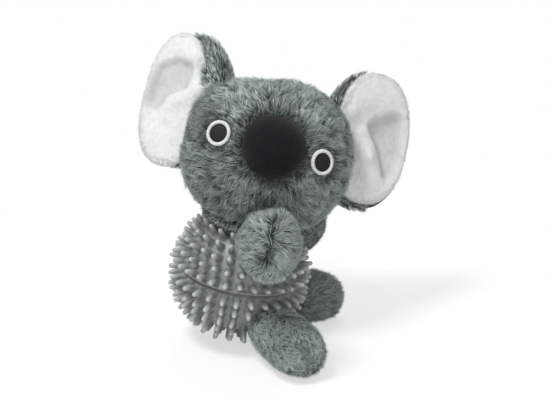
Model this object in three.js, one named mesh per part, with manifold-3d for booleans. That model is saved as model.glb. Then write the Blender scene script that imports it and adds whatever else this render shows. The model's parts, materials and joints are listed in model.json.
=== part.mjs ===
// A plush koala toy: a stuffed head, two arms and two legs on a body that is a hollow ball of soft rubber spikes.
// Millimetres, +Z up, the face towards -Y. Right and left are the toy's own. The origin lies on the floor
// under the middle of the toy.
import * as THREE from 'three';
import { mergeVertices } from 'three/addons/utils/BufferGeometryUtils.js';
import Module from 'manifold-3d';

// Gaps and thicknesses that all pieces share
const SEAT_GAP = 0.4; // between two pieces that rest on each other
const OVERRUN = 4; // how far a cutter reaches past what it cuts
const PLUSH = 4.5; // plush cloth with its pile
const FLOOR_FLAT = 0.5; // depth of the flat where a soft form rests on the floor

// Ball
const BALL_RADIUS = 29; // shell without its spikes
const BALL_WALL = 3.2;
const BALL_LEAN_DEG = 10;
const SPIKE_LENGTH = 7;
const SPIKE_BASE = 3.7;
const SPIKE_TIP = 1.9;
const SPIKES_ROUND = 30; // in a row at the parting line
const FIRST_ROW = 3.7; // from the parting line, along the shell
const ROW_PITCH = 5.33;
const LIP_HEIGHT = 0.6;
const LIP_DEPTH = 0.9;
const SPIGOT_HEIGHT = 2.4;
const SPIGOT_WALL = 1.2;

// Neck: a yoke of cloth over the top of the ball, gathered into a stem that a washer holds inside the shell
const NECK_HOLE_RADIUS = 8.3;
const NECK_STEM_RADIUS = 4.8;
const NECK_STUB_RADIUS = 14;
const NECK_TILT_DEG = 6;
const PAD_SPREAD_DEG = 20; // the block of cloth between the shell and the spikes' tips
const YOKE_SPREAD_DEG = 37;
const YOKE_THICKNESS = 2.5;
const WASHER_THICKNESS = 1.8;
const NECK_WASHER_SPREAD_DEG = 30;
const STOP_FLARE = 2.6; // how far a stem's knotted end stands out
const STOP_THICKNESS = 1.8;

// Squeaker
const SQUEAKER_RADIUS = 11.5;
const SQUEAKER_HEIGHT = 12;
const SQUEAKER_WALL = 1.2;
const SQUEAKER_PLEATS = 2;
const PLEAT_DEPTH = 1.8;
const REED_RADIUS = 3;
const REED_WALL = 0.8;
const REED_STANDOUT = 3.5;

// Head
const HEAD_WIDTH = 83;
const HEAD_HEIGHT = 72;
const FACE_DEPTH = 31; // from the widest section to the front
const NAPE_DEPTH = 34; // and to the back
const HEAD_FULLNESS = 2.2; // 2 is an ellipsoid, and more is boxier
const HEAD_SINK = 14.7; // how deep the ball presses into the head
const HEAD_ASIDE = 3;
const HEAD_YAW_DEG = 5;
const HEAD_PITCH_DEG = -18;
const HEAD_ROLL_DEG = 5;
// The line under which the head never hangs, from the neck's axis outwards: shares of half the head's width
// and of half its height below its middle
const shoulderLineShares = [[0.89, 0.81], [0.97, 0.66], [1.04, 0.42], [1.1, 0.13]];

// Nose and eyes, from the middle of the face
const NOSE_WIDTH = 27.5;
const NOSE_HEIGHT = 30;
const NOSE_STANDOUT = 9;
const NOSE_CLOTH = 1.4;
const NOSE_NARROWING = 0.1; // how much narrower than its middle the nose is at the bottom
const NOSE_FULLNESS = 2.2;
const NOSE_ASIDE = -1;
const NOSE_RISE = 4.8;
const EYE_DIAMETER = 12;
const EYE_RING_WIDTH = 1.5;
const EYE_STANDOUT = 1.3;
const PUPIL_STANDOUT = 1;
const RIGHT_EYE_ASIDE = -27.6;
const RIGHT_EYE_RISE = 4.6;
const LEFT_EYE_ASIDE = 22.6;
const LEFT_EYE_RISE = 3.2;

// Ears: an upright oval whose inner edge is sewn to the side of the head
const EAR_WIDTH = 44;
const EAR_HEIGHT = 68;
const EAR_FULLNESS = 2.3;
const EAR_BACK_DEPTH = 10;
const EAR_FRONT_DEPTH = 5.5;
const EAR_HOLLOW = 4; // how deep the white front is dished
const EAR_WHITE_INSET = 5; // bare grey at the inner edge of the front
const EAR_RIM = 1.6;
const EAR_ROOT_ASIDE = 26;
const EAR_ROOT_RISE = 18;
const EAR_ROOT_BACK = 3;
const RIGHT_EAR_LEAN_DEG = -2; // how far its top leans outwards
const LEFT_EAR_LEAN_DEG = -5;
const RIGHT_EAR_TURN_DEG = 32; // how far its white front looks outwards
const LEFT_EAR_TURN_DEG = 12;
const EAR_FOLD_DEG = 12;

// Arms, each held at the rim of the yoke
const ARM_WIDTH = 31;
const ARM_HEIGHT = 36;
const ARM_LENGTH = 40;
const ARM_SWING_DEG = 10;
const ARM_OPENING_RADIUS = 3;
const RIGHT_ARM_AZIMUTH_DEG = 10;
const RIGHT_ARM_DROOP_DEG = -9;
const LEFT_ARM_AZIMUTH_DEG = 144;
const LEFT_ARM_DROOP_DEG = 32;

// Legs, each held in a hole low in the ball
const LEG_DIAMETER = 27;
const RIGHT_LEG_LENGTH = 43.5;
const LEFT_LEG_LENGTH = 37;
const LEG_SWING_DEG = 12;
const HIP_LATITUDE_DEG = -42;
const RIGHT_LEG_AZIMUTH_DEG = 33;
const LEFT_LEG_AZIMUTH_DEG = 120;
const LEG_STEM_RADIUS = 3.2;
const LEG_STEM_BORE = 1.5;
const LEG_HOLE_RADIUS = 4.8;
const LEG_WASHER_RADIUS = 7;
const LEG_WASHER_SETBACK = 3.2; // room for the washer to tip behind the shell's curved wall

// A limb's outline, from its root to its end: shares of its radius and of its length
const armOutlineShares = [
  [0, 0], [0.36, 0.01], [0.6, 0.08], [0.84, 0.28], [0.97, 0.52], [1, 0.7],
  [0.9, 0.87], [0.62, 0.985], [0.3, 1], [0, 0.955],
];
const legOutlineShares = [
  [0, 0], [0.4, 0.015], [0.72, 0.1], [0.9, 0.28], [0.98, 0.52], [1, 0.7],
  [0.88, 0.87], [0.6, 0.98], [0.3, 1], [0, 0.97],
];

// Facets
const BALL_SIDES = 24;
const HEAD_SIDES = 24;
const HEAD_INNER_SIDES = 16;
const LIMB_SIDES = 16;
const LIMB_RINGS = 12;
const LIMB_INNER_SIDES = 10;
const LIMB_INNER_RINGS = 7;
const PAD_SIDES = 20;
const PAD_RINGS = 4;
const SMALL_SIDES = 12;
const ARC_STEPS = 3;
const SWEEP_STEPS = 2;
const MERGE_DISTANCE = 1e-4;
const SHORTEST_EDGE = 0.02;
const TURN = 2 * Math.PI;
const UP = new THREE.Vector3(0, 0, 1);

const rad = THREE.MathUtils.degToRad;
const facetShrink = Math.cos(Math.PI / BALL_SIDES);
const ballReach = BALL_RADIUS + SPIKE_LENGTH;
const ballInside = BALL_RADIUS - BALL_WALL;
const yokeUnder = ballReach + SEAT_GAP;
const yokeOver = yokeUnder + YOKE_THICKNESS;
const headSeat = yokeOver + SEAT_GAP;
const headRise = headSeat + HEAD_HEIGHT / 2 - HEAD_SINK;
const ballHeight = ballReach - FLOOR_FLAT;

// Solids

const kernel = await Module();
kernel.setup();

function solidOf(geometry) {
  const bare = geometry.clone();
  bare.deleteAttribute('normal');
  bare.deleteAttribute('uv');
  const merged = mergeVertices(bare, MERGE_DISTANCE);
  const corners = merged.index.array;
  const kept = [];
  for (let i = 0; i < corners.length; i += 3) {
    const [a, b, c] = corners.slice(i, i + 3);
    if (a !== b && b !== c && c !== a) kept.push(a, b, c);
  }
  return new kernel.Manifold(new kernel.Mesh({
    numProp: 3,
    vertProperties: new Float32Array(merged.attributes.position.array),
    triVerts: new Uint32Array(kept),
  }));
}

function geometryOf(solid) {
  const mesh = solid.asOriginal().simplify(SHORTEST_EDGE).getMesh();
  const geometry = new THREE.BufferGeometry();
  geometry.setAttribute('position', new THREE.BufferAttribute(mesh.vertProperties, 3));
  geometry.setIndex(new THREE.BufferAttribute(mesh.triVerts, 1));
  geometry.computeVertexNormals();
  return geometry;
}

function geometryFromFaces(faces) {
  const geometry = new THREE.BufferGeometry();
  const numbers = faces.flatMap((point) => point.toArray());
  geometry.setAttribute('position', new THREE.Float32BufferAttribute(numbers, 3));
  return geometry;
}

// Turns a geometry that three.js makes round the Y axis so that it stands on the Z axis
function upright(geometry) {
  return geometry.rotateX(TURN / 4);
}

// The profile runs so that the material lies on its left
function lathe(profile, sides) {
  const points = profile.map(([radius, height]) => new THREE.Vector2(radius, height));
  points.push(points[0].clone());
  return upright(new THREE.LatheGeometry(points, sides));
}

// A rod is turned a quarter of a facet, so that its edges miss those of the other forms
function rod(radius, from, to, sides = SMALL_SIDES) {
  const cylinder = new THREE.CylinderGeometry(radius, radius, to - from, sides, 1, false, TURN / sides / 4);
  return upright(cylinder).translate(0, 0, (from + to) / 2);
}

function ballOf(radius, sides = BALL_SIDES) {
  return upright(new THREE.SphereGeometry(radius, sides, sides / 2));
}

// A facetted cutter whose faces stay outside the true radius
function clearBall(radius) {
  return ballOf(radius / facetShrink ** 2);
}

// Points on a circle about the ball's centre, in a plane through the neck's axis
function arc(radius, fromDeg, toDeg) {
  return Array.from({ length: ARC_STEPS + 1 }, (_, i) => {
    const angle = rad(THREE.MathUtils.lerp(fromDeg, toDeg, i / ARC_STEPS));
    return [radius * Math.sin(angle), radius * Math.cos(angle)];
  });
}

// The polar angle, in degrees, at which a circle of one radius lies on a sphere of another
function polarDeg(across, radius) {
  return THREE.MathUtils.radToDeg(Math.asin(across / radius));
}

function power(value, exponent) {
  return Math.sign(value) * Math.abs(value) ** exponent;
}

// Groups

function groupAt(parent, position, basis) {
  const group = new THREE.Group();
  group.position.copy(position);
  if (basis) group.quaternion.setFromRotationMatrix(basis);
  parent.add(group);
  group.updateWorldMatrix(true, false);
  return group;
}

// A basis whose Z axis runs along one direction, with its Y axis as near as can be to another
function basisAlong(along, near) {
  const z = along.clone().normalize();
  const x = near.clone().cross(z).normalize();
  const y = z.clone().cross(x);
  return new THREE.Matrix4().makeBasis(x, y, z);
}

function outwards(azimuthDeg) {
  return new THREE.Vector3(Math.sin(rad(azimuthDeg)), -Math.cos(rad(azimuthDeg)), 0);
}

// A geometry of one group, seen from another
function seenFrom(group, geometry, owner) {
  const change = group.matrixWorld.clone().invert().multiply(owner.matrixWorld);
  return geometry.clone().applyMatrix4(change);
}

// What a neighbour covers while a piece turns about an axis through its own origin, each way by an angle
function cutSwept(solid, geometry, axis, swingDeg) {
  let left = solid;
  for (let i = 0; i <= SWEEP_STEPS; i += 1) {
    const angle = rad(THREE.MathUtils.lerp(-swingDeg, swingDeg, i / SWEEP_STEPS));
    const turned = geometry.clone().applyMatrix4(new THREE.Matrix4().makeRotationAxis(axis, angle));
    left = left.subtract(solidOf(turned));
  }
  return left;
}

function axisIn(group, axis, owner) {
  return axis.clone().transformDirection(owner.matrixWorld).transformDirection(group.matrixWorld.clone().invert());
}

const finishes = {
  rubber: { color: 0x75797b, roughness: 0.55, metalness: 0 },
  plush: { color: 0x71807c, roughness: 0.95, metalness: 0 },
  fleece: { color: 0xf0f0f0, roughness: 0.95, metalness: 0 },
  velour: { color: 0x17171b, roughness: 0.85, metalness: 0 },
  whiteThread: { color: 0xf2f2f0, roughness: 0.6, metalness: 0 },
  blackThread: { color: 0x1a1a1c, roughness: 0.6, metalness: 0 },
  fill: { color: 0xfafafa, roughness: 1, metalness: 0 },
  plastic: { color: 0xe6e6e0, roughness: 0.4, metalness: 0 },
};

function addPiece(group, name, solid, finish) {
  const mesh = new THREE.Mesh(geometryOf(solid), new THREE.MeshStandardMaterial(finishes[finish]));
  mesh.name = name;
  group.add(mesh);
}

// The toy's groups

const koala = new THREE.Group();
const toy = groupAt(koala, new THREE.Vector3());
const ball = groupAt(toy, new THREE.Vector3(0, 0, ballHeight), new THREE.Matrix4().makeRotationY(rad(BALL_LEAN_DEG)));
const neck = groupAt(ball, new THREE.Vector3());
const headTurn = new THREE.Euler(rad(HEAD_PITCH_DEG), rad(HEAD_ROLL_DEG), rad(HEAD_YAW_DEG), 'ZXY');
const head = groupAt(
  neck,
  new THREE.Vector3(HEAD_ASIDE, 0, headRise),
  new THREE.Matrix4().makeRotationFromEuler(headTurn),
);

function shoulderAt(azimuthDeg, droopDeg) {
  const away = outwards(azimuthDeg);
  const rim = rad(YOKE_SPREAD_DEG);
  const middle = (yokeUnder + yokeOver) / 2;
  const place = away.clone().multiplyScalar(middle * Math.sin(rim) + YOKE_THICKNESS / 2);
  place.z = middle * Math.cos(rim);
  const along = away.clone().multiplyScalar(Math.cos(rad(droopDeg))).addScaledVector(UP, -Math.sin(rad(droopDeg)));
  return groupAt(neck, place, basisAlong(along, UP));
}

// The leg runs from its hip on the shell down to an end that rests on the floor
function hipAt(azimuthDeg, length) {
  const away = outwards(azimuthDeg);
  const place = away.clone().multiplyScalar(BALL_RADIUS * Math.cos(rad(HIP_LATITUDE_DEG)));
  place.z = ballHeight + BALL_RADIUS * Math.sin(rad(HIP_LATITUDE_DEG));
  const drop = place.z - (LEG_DIAMETER / 2 - FLOOR_FLAT);
  const reach = length - LEG_DIAMETER / 2;
  const along = away.multiplyScalar(Math.sqrt(reach ** 2 - drop ** 2)).addScaledVector(UP, -drop);
  return groupAt(toy, place, basisAlong(along, UP));
}

const limbs = {
  rightArm: shoulderAt(RIGHT_ARM_AZIMUTH_DEG, RIGHT_ARM_DROOP_DEG),
  leftArm: shoulderAt(LEFT_ARM_AZIMUTH_DEG, LEFT_ARM_DROOP_DEG),
  rightLeg: hipAt(RIGHT_LEG_AZIMUTH_DEG, RIGHT_LEG_LENGTH),
  leftLeg: hipAt(LEFT_LEG_AZIMUTH_DEG, LEFT_LEG_LENGTH),
};

// Ball

const tiltRoomDeg = NECK_TILT_DEG + polarDeg(SPIKE_BASE / 2, BALL_RADIUS);

// Whether a point of the ball lies in the space of a leg at some angle of its swing
function legReaches(leg, length, point, room) {
  const axis = axisIn(leg, UP, toy);
  const local = leg.worldToLocal(ball.localToWorld(point.clone()));
  const end = length - LEG_DIAMETER / 2;
  const root = LEG_DIAMETER / 2 * legOutlineShares[2][0];
  for (let i = 0; i <= SWEEP_STEPS; i += 1) {
    const angle = rad(THREE.MathUtils.lerp(-LEG_SWING_DEG, LEG_SWING_DEG, i / SWEEP_STEPS));
    const turned = local.clone().applyAxisAngle(axis, angle);
    const along = THREE.MathUtils.clamp(turned.z, 0, end);
    const reach = THREE.MathUtils.lerp(root, LEG_DIAMETER / 2, Math.min(along / (end / 2), 1)) + room;
    if (Math.hypot(turned.x, turned.y, turned.z - along) < reach) return true;
  }
  return false;
}

function spikeFits(direction) {
  if (direction.z > Math.cos(rad(PAD_SPREAD_DEG + tiltRoomDeg))) return false;
  const foot = direction.clone().multiplyScalar(BALL_RADIUS);
  const tip = direction.clone().multiplyScalar(ballReach);
  const middle = foot.clone().lerp(tip, 1 / 2);
  const legs = [[limbs.rightLeg, RIGHT_LEG_LENGTH], [limbs.leftLeg, LEFT_LEG_LENGTH]];
  return !legs.some(([leg, length]) => (
    legReaches(leg, length, foot, SPIKE_BASE / 2 + SEAT_GAP)
    || legReaches(leg, length, middle, SPIKE_BASE / 2 + SEAT_GAP)
    || legReaches(leg, length, tip, SPIKE_TIP / 2 + SEAT_GAP)
  ));
}

// Joins two rings of points, of any counts, by faces that look outwards
function stitch(faces, low, high) {
  const point = (ring, i) => ring[i % ring.length].point;
  const azimuth = (ring, i) => ring[i % ring.length].azimuth + TURN * Math.floor(i / ring.length);
  let i = 0;
  let j = 0;
  while (i < low.length || j < high.length) {
    const raiseLow = i < low.length && (j >= high.length || azimuth(low, i + 1) <= azimuth(high, j + 1));
    if (raiseLow) {
      faces.push(point(low, i), point(low, i + 1), point(high, j));
      i += 1;
    } else {
      faces.push(point(low, i), point(high, j + 1), point(high, j));
      j += 1;
    }
  }
}

function onBall(radius, latitude, azimuth) {
  const across = radius * Math.cos(latitude);
  return new THREE.Vector3(across * Math.sin(azimuth), -across * Math.cos(azimuth), radius * Math.sin(latitude));
}

// One half of the ball, built upwards from the parting line. side is 1 for the upper half and -1 for the lower.
function spikedHalf(side) {
  const faces = [];
  const flip = (point) => new THREE.Vector3(point.x, point.y, side * point.z);
  const evenRing = (radius, height) => Array.from({ length: SPIKES_ROUND }, (_, i) => {
    const azimuth = (i / SPIKES_ROUND) * TURN;
    return { azimuth, point: new THREE.Vector3(radius * Math.sin(azimuth), -radius * Math.cos(azimuth), height) };
  });
  const lipReach = BALL_RADIUS + LIP_DEPTH;
  const lipFoot = LIP_HEIGHT + LIP_DEPTH / 2;
  const seam = evenRing(lipReach, SEAT_GAP / 2);
  const lipTop = evenRing(lipReach, LIP_HEIGHT);
  const lipRoot = evenRing(Math.sqrt(BALL_RADIUS ** 2 - lipFoot ** 2), lipFoot);
  stitch(faces, [{ azimuth: 0, point: new THREE.Vector3(0, 0, SEAT_GAP / 2) }], seam);
  stitch(faces, seam, lipTop);
  stitch(faces, lipTop, lipRoot);
  let below = lipRoot;
  const quarter = (BALL_RADIUS * TURN) / 4;
  for (let rise = FIRST_ROW; rise < quarter - SPIKE_BASE / 2; rise += ROW_PITCH) {
    const latitude = rise / BALL_RADIUS;
    const count = Math.max(Math.round(SPIKES_ROUND * Math.cos(latitude)), 3);
    const halfHeight = SPIKE_BASE / 2 / BALL_RADIUS;
    const halfWidth = halfHeight / Math.cos(latitude);
    const low = [];
    const high = [];
    for (let i = 0; i < count; i += 1) {
      for (const azimuth of [(i / count) * TURN - halfWidth, (i / count) * TURN + halfWidth]) {
        low.push({ azimuth, point: onBall(BALL_RADIUS, latitude - halfHeight, azimuth) });
        high.push({ azimuth, point: onBall(BALL_RADIUS, latitude + halfHeight, azimuth) });
      }
    }
    stitch(faces, below, low);
    addRow(faces, low, high, latitude, (i) => spikeFits(flip(onBall(1, latitude, (i / count) * TURN))));
    below = high;
  }
  stitch(faces, below, [{ azimuth: 0, point: new THREE.Vector3(0, 0, BALL_RADIUS) }]);
  const placed = faces.map(flip);
  return geometryFromFaces(side > 0 ? placed : placed.reverse());
}

// The band of shell that carries one row of spikes, with each spike drawn out of it where it has room
function addRow(faces, low, high, latitude, hasSpike) {
  const count = low.length;
  for (let i = 0; i < count; i += 1) {
    const next = (i + 1) % count;
    const foot = [low[i].point, low[next].point, high[next].point, high[i].point];
    if (i % 2 === 1 || !hasSpike(i / 2)) {
      faces.push(foot[0], foot[1], foot[2], foot[0], foot[2], foot[3]);
      continue;
    }
    const middle = foot[0].clone().add(foot[2]).setLength(ballReach);
    const spread = SPIKE_TIP / SPIKE_BASE;
    const tip = foot.map((corner) => {
      const offset = corner.clone().sub(foot[0].clone().add(foot[2]).multiplyScalar(1 / 2));
      return middle.clone().addScaledVector(offset, spread).setLength(ballReach);
    });
    for (let k = 0; k < foot.length; k += 1) {
      const after = (k + 1) % foot.length;
      faces.push(foot[k], foot[after], tip[after], foot[k], tip[after], tip[k]);
    }
    faces.push(tip[0], tip[1], tip[2], tip[0], tip[2], tip[3]);
  }
}

const floorSide = 2 * (ballReach + RIGHT_LEG_LENGTH + LEFT_LEG_LENGTH);
const floor = new THREE.BoxGeometry(floorSide, floorSide, ballReach).translate(0, 0, -ballReach / 2);
const hollow = solidOf(ballOf(ballInside));

function addBall() {
  const rebate = rod(ballInside + SPIGOT_WALL + SEAT_GAP, -OVERRUN, SPIGOT_HEIGHT + SEAT_GAP, BALL_SIDES);
  const upper = solidOf(spikedHalf(1))
    .subtract(hollow)
    .subtract(solidOf(rebate))
    .subtract(solidOf(rod(NECK_HOLE_RADIUS, 0, ballReach, BALL_SIDES)));
  addPiece(ball, 'ball_upper_half', upper, 'rubber');

  const spigot = lathe([
    [ballInside, -SPIGOT_HEIGHT],
    [ballInside + SPIGOT_WALL, -SPIGOT_HEIGHT],
    [ballInside + SPIGOT_WALL, SPIGOT_HEIGHT],
    [ballInside, SPIGOT_HEIGHT],
  ], BALL_SIDES);
  let lower = solidOf(spikedHalf(-1)).subtract(hollow).add(solidOf(spigot));
  for (const leg of [limbs.rightLeg, limbs.leftLeg]) {
    lower = lower.subtract(solidOf(hipRod(leg, LEG_HOLE_RADIUS, -BALL_RADIUS / 2, OVERRUN, ball)));
  }
  lower = lower.subtract(solidOf(seenFrom(ball, floor, toy)));
  addPiece(ball, 'ball_lower_half', lower, 'rubber');
}

// A rod through the hip along the ball's radius, seen from a group; from and to are counted outwards from the hip
function hipRod(leg, radius, from, to, group) {
  const hip = ball.worldToLocal(leg.getWorldPosition(new THREE.Vector3()));
  const basis = basisAlong(hip, UP).setPosition(hip);
  return seenFrom(group, rod(radius, from, to).applyMatrix4(basis), ball);
}

// Squeaker: a pleated case that lies in the bottom of the ball, and its reed

function addSqueaker() {
  const seat = ballInside - SEAT_GAP;
  const footRadius = SQUEAKER_RADIUS - PLEAT_DEPTH;
  const foot = -Math.sqrt(seat ** 2 - footRadius ** 2) + SEAT_GAP;
  const pleat = SQUEAKER_HEIGHT / SQUEAKER_PLEATS;
  const outside = [[0, foot], [footRadius, foot]];
  const inside = [[0, foot + SQUEAKER_WALL], [footRadius - SQUEAKER_WALL, foot + SQUEAKER_WALL]];
  for (let i = 0; i < SQUEAKER_PLEATS; i += 1) {
    const crest = foot + (i + 1 / 2) * pleat;
    const valley = foot + (i + 1) * pleat;
    const last = i === SQUEAKER_PLEATS - 1;
    outside.push([SQUEAKER_RADIUS, crest], [footRadius, valley]);
    inside.push([SQUEAKER_RADIUS - SQUEAKER_WALL, crest]);
    inside.push([footRadius - SQUEAKER_WALL, last ? valley - SQUEAKER_WALL : valley]);
  }
  const top = foot + SQUEAKER_HEIGHT;
  const mouth = REED_RADIUS + SEAT_GAP;
  outside.push([mouth, top]);
  inside.push([mouth, top - SQUEAKER_WALL]);
  addPiece(ball, 'squeaker_case', solidOf(lathe([...outside, ...inside.reverse()], SMALL_SIDES)), 'plastic');

  const flange = top + SEAT_GAP;
  const reed = lathe([
    [REED_RADIUS - REED_WALL, top - REED_STANDOUT],
    [REED_RADIUS, top - REED_STANDOUT],
    [REED_RADIUS, flange],
    [REED_RADIUS + 2 * REED_WALL, flange],
    [REED_RADIUS + 2 * REED_WALL, flange + REED_WALL],
    [REED_RADIUS, flange + REED_WALL],
    [REED_RADIUS, flange + REED_STANDOUT],
    [REED_RADIUS - REED_WALL, flange + REED_STANDOUT],
  ], SMALL_SIDES);
  addPiece(ball, 'squeaker_reed', solidOf(reed), 'plastic');
}

// Neck

function addNeck() {
  const washerOver = ballInside - SEAT_GAP;
  const washerUnder = washerOver - WASHER_THICKNESS;
  const stopRadius = NECK_STEM_RADIUS + STOP_FLARE;
  const stopTop = Math.sqrt((washerUnder - SEAT_GAP) ** 2 - stopRadius ** 2);
  const padUnder = BALL_RADIUS + SEAT_GAP;
  const yoke = lathe([
    [0, stopTop - STOP_THICKNESS],
    [stopRadius, stopTop - STOP_THICKNESS],
    [stopRadius, stopTop],
    [NECK_STEM_RADIUS, stopTop],
    ...arc(padUnder, polarDeg(NECK_STEM_RADIUS, padUnder), PAD_SPREAD_DEG),
    ...arc(yokeUnder, PAD_SPREAD_DEG, YOKE_SPREAD_DEG),
    ...arc(yokeOver, YOKE_SPREAD_DEG, polarDeg(NECK_STUB_RADIUS, yokeOver)),
    ...arc(headSeat + PLUSH, polarDeg(NECK_STUB_RADIUS, headSeat + PLUSH), 0),
  ], BALL_SIDES);
  addPiece(neck, 'neck_yoke', solidOf(yoke), 'plush');

  const bore = NECK_STEM_RADIUS + SEAT_GAP;
  const washer = lathe([
    ...arc(washerUnder, polarDeg(bore, washerUnder), NECK_WASHER_SPREAD_DEG),
    ...arc(washerOver, NECK_WASHER_SPREAD_DEG, polarDeg(bore, washerOver)),
  ], SMALL_SIDES);
  addPiece(neck, 'neck_washer', solidOf(washer), 'plastic');
}

// Head

// A sphere drawn out to the head's size and fullness, drawn in all over by an inset
function headForm(inset) {
  const form = ballOf(1, inset > 0 ? HEAD_INNER_SIDES : HEAD_SIDES);
  const places = form.attributes.position;
  for (let i = 0; i < places.count; i += 1) {
    const way = [places.getX(i), places.getY(i), places.getZ(i)];
    const sum = way.reduce((total, value) => total + Math.abs(value) ** HEAD_FULLNESS, 0);
    const reach = sum ** (-1 / HEAD_FULLNESS);
    const depth = way[1] < 0 ? FACE_DEPTH : NAPE_DEPTH;
    places.setXYZ(
      i,
      way[0] * reach * (HEAD_WIDTH / 2 - inset),
      way[1] * reach * (depth - inset),
      way[2] * reach * (HEAD_HEIGHT / 2 - inset),
    );
  }
  return form;
}

// The shoulder line, to be turned round the neck's axis, moved down and outwards by some room
function shoulderLine(room) {
  return shoulderLineShares.map(([out, down]) => (
    [(out * HEAD_WIDTH / 2 + room) / facetShrink, headRise - down * HEAD_HEIGHT / 2 - room]
  ));
}

// What the head keeps out of: the ball with its yoke, and all below the shoulder line
function spaceBelowHead(inset) {
  const line = shoulderLine(-inset);
  const [, firstRise] = line[0];
  const [, lastRise] = line[line.length - 1];
  const reach = (headSeat + inset) / facetShrink ** 2;
  const seat = arc(reach, 0, THREE.MathUtils.radToDeg(Math.acos(firstRise / reach)));
  const outline = [...seat, ...line, [HEAD_WIDTH, lastRise], [HEAD_WIDTH, -ballReach], [0, -ballReach]];
  return lathe(outline.reverse(), BALL_SIDES);
}

function spaceAboveArms(room) {
  const line = shoulderLine(room);
  const [, firstRise] = line[0];
  const [lastOut] = line[line.length - 1];
  const top = headRise + HEAD_HEIGHT;
  return lathe([[0, firstRise], ...line, [lastOut, top], [0, top]], BALL_SIDES);
}

function headSolid(inset) {
  return solidOf(headForm(inset)).subtract(solidOf(seenFrom(head, spaceBelowHead(inset), neck)));
}

function addHead() {
  const opening = seenFrom(head, rod(NECK_STUB_RADIUS + SEAT_GAP, 0, headRise, BALL_SIDES), neck);
  const skin = headSolid(0).subtract(headSolid(PLUSH)).subtract(solidOf(opening));
  addPiece(head, 'head_skin', skin, 'plush');
  addPiece(head, 'head_stuffing', headSolid(PLUSH + SEAT_GAP), 'fill');
}

// Where a straight line from the front meets the face, and the way the face looks there
function onFace(aside, rise) {
  const half = new THREE.Vector3(HEAD_WIDTH / 2, FACE_DEPTH, HEAD_HEIGHT / 2);
  const x = aside / half.x;
  const z = rise / half.z;
  const y = -((1 - Math.abs(x) ** HEAD_FULLNESS - Math.abs(z) ** HEAD_FULLNESS) ** (1 / HEAD_FULLNESS));
  const slope = HEAD_FULLNESS - 1;
  const look = new THREE.Vector3(power(x, slope) / half.x, power(y, slope) / half.y, power(z, slope) / half.z);
  return { place: new THREE.Vector3(x, y, z).multiply(half), look: look.normalize() };
}

function groupOnFace(aside, rise) {
  const { place, look } = onFace(aside, rise);
  return groupAt(head, place, basisAlong(look, UP));
}

// A closed pad over an outline round the origin. Its two faces' heights are functions of the share of the way to
// the outline's edge.
function pad(outline, top, bottom) {
  const faces = [];
  const ringOf = (height, share) => Array.from({ length: PAD_SIDES }, (_, i) => {
    const angle = (i / PAD_SIDES) * TURN;
    const [x, y] = outline(angle);
    return { azimuth: angle, point: new THREE.Vector3(x * share, y * share, height(share)) };
  });
  const shares = Array.from({ length: PAD_RINGS }, (_, i) => Math.sin(((i + 1) / PAD_RINGS) * TURN / 4));
  const layer = (height) => {
    const skin = [];
    let inner = ringOf(height, shares[0]);
    stitch(skin, inner, [{ azimuth: 0, point: new THREE.Vector3(0, 0, height(0)) }]);
    for (const share of shares.slice(1)) {
      const outer = ringOf(height, share);
      stitch(skin, outer, inner);
      inner = outer;
    }
    return skin;
  };
  faces.push(...layer(top), ...layer(bottom).reverse());
  stitch(faces, ringOf(bottom, 1), ringOf(top, 1));
  return geometryFromFaces(faces);
}

// A dome's height over the share of the way to its edge. 2 is round, and more is boxier.
function dome(share, fullness = 2) {
  return Math.abs(1 - share ** 2) ** (1 / fullness);
}

// How far the face falls away behind a piece of one radius, and so how deep its back has to reach
function backReach(radius) {
  return radius ** 2 / FACE_DEPTH / 2 + OVERRUN;
}

function onFaceOnly(group, solid, room) {
  return solid.subtract(solidOf(seenFrom(group, headForm(-room), head)));
}

// Nose: an egg whose narrow end is at the bottom
function noseForm(inset) {
  const outline = (angle) => {
    const share = 1 + NOSE_NARROWING * Math.sin(angle);
    return [
      (NOSE_WIDTH / 2 - inset) * power(Math.cos(angle), 2 / NOSE_FULLNESS) * share,
      (NOSE_HEIGHT / 2 - inset) * power(Math.sin(angle), 2 / NOSE_FULLNESS),
    ];
  };
  const top = (share) => (NOSE_STANDOUT - inset) * dome(share, NOSE_FULLNESS);
  return solidOf(pad(outline, top, () => -backReach(NOSE_WIDTH / 2)));
}

function addNose() {
  const nose = groupOnFace(NOSE_ASIDE, NOSE_RISE);
  const cover = noseForm(0).subtract(noseForm(NOSE_CLOTH));
  addPiece(nose, 'nose_cover', onFaceOnly(nose, cover, SEAT_GAP), 'velour');
  addPiece(nose, 'nose_stuffing', onFaceOnly(nose, noseForm(NOSE_CLOTH + SEAT_GAP), SEAT_GAP), 'fill');
}

function addEye(side, aside, rise) {
  const eye = groupOnFace(aside, rise);
  const radius = EYE_DIAMETER / 2;
  const pupilRadius = radius - EYE_RING_WIDTH - SEAT_GAP / 2;
  const foot = -backReach(radius);
  const middle = radius - EYE_RING_WIDTH / 2;
  const ring = lathe([
    [radius, foot],
    [radius, EYE_STANDOUT / 2],
    [middle, EYE_STANDOUT],
    [radius - EYE_RING_WIDTH, EYE_STANDOUT / 2],
    [radius - EYE_RING_WIDTH, foot],
  ], PAD_SIDES);
  const pupil = lathe([
    [0, foot],
    [pupilRadius, foot],
    [pupilRadius, PUPIL_STANDOUT / 2],
    [pupilRadius - PUPIL_STANDOUT / 2, PUPIL_STANDOUT],
    [0, PUPIL_STANDOUT],
  ], SMALL_SIDES);
  addPiece(eye, `${side}_eye_ring`, onFaceOnly(eye, solidOf(ring), SEAT_GAP), 'whiteThread');
  addPiece(eye, `${side}_eye_pupil`, onFaceOnly(eye, solidOf(pupil), SEAT_GAP), 'blackThread');
}

// Ears. In an ear's own group Z looks where the white front looks, Y runs up along the seam and the origin is on it.

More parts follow.
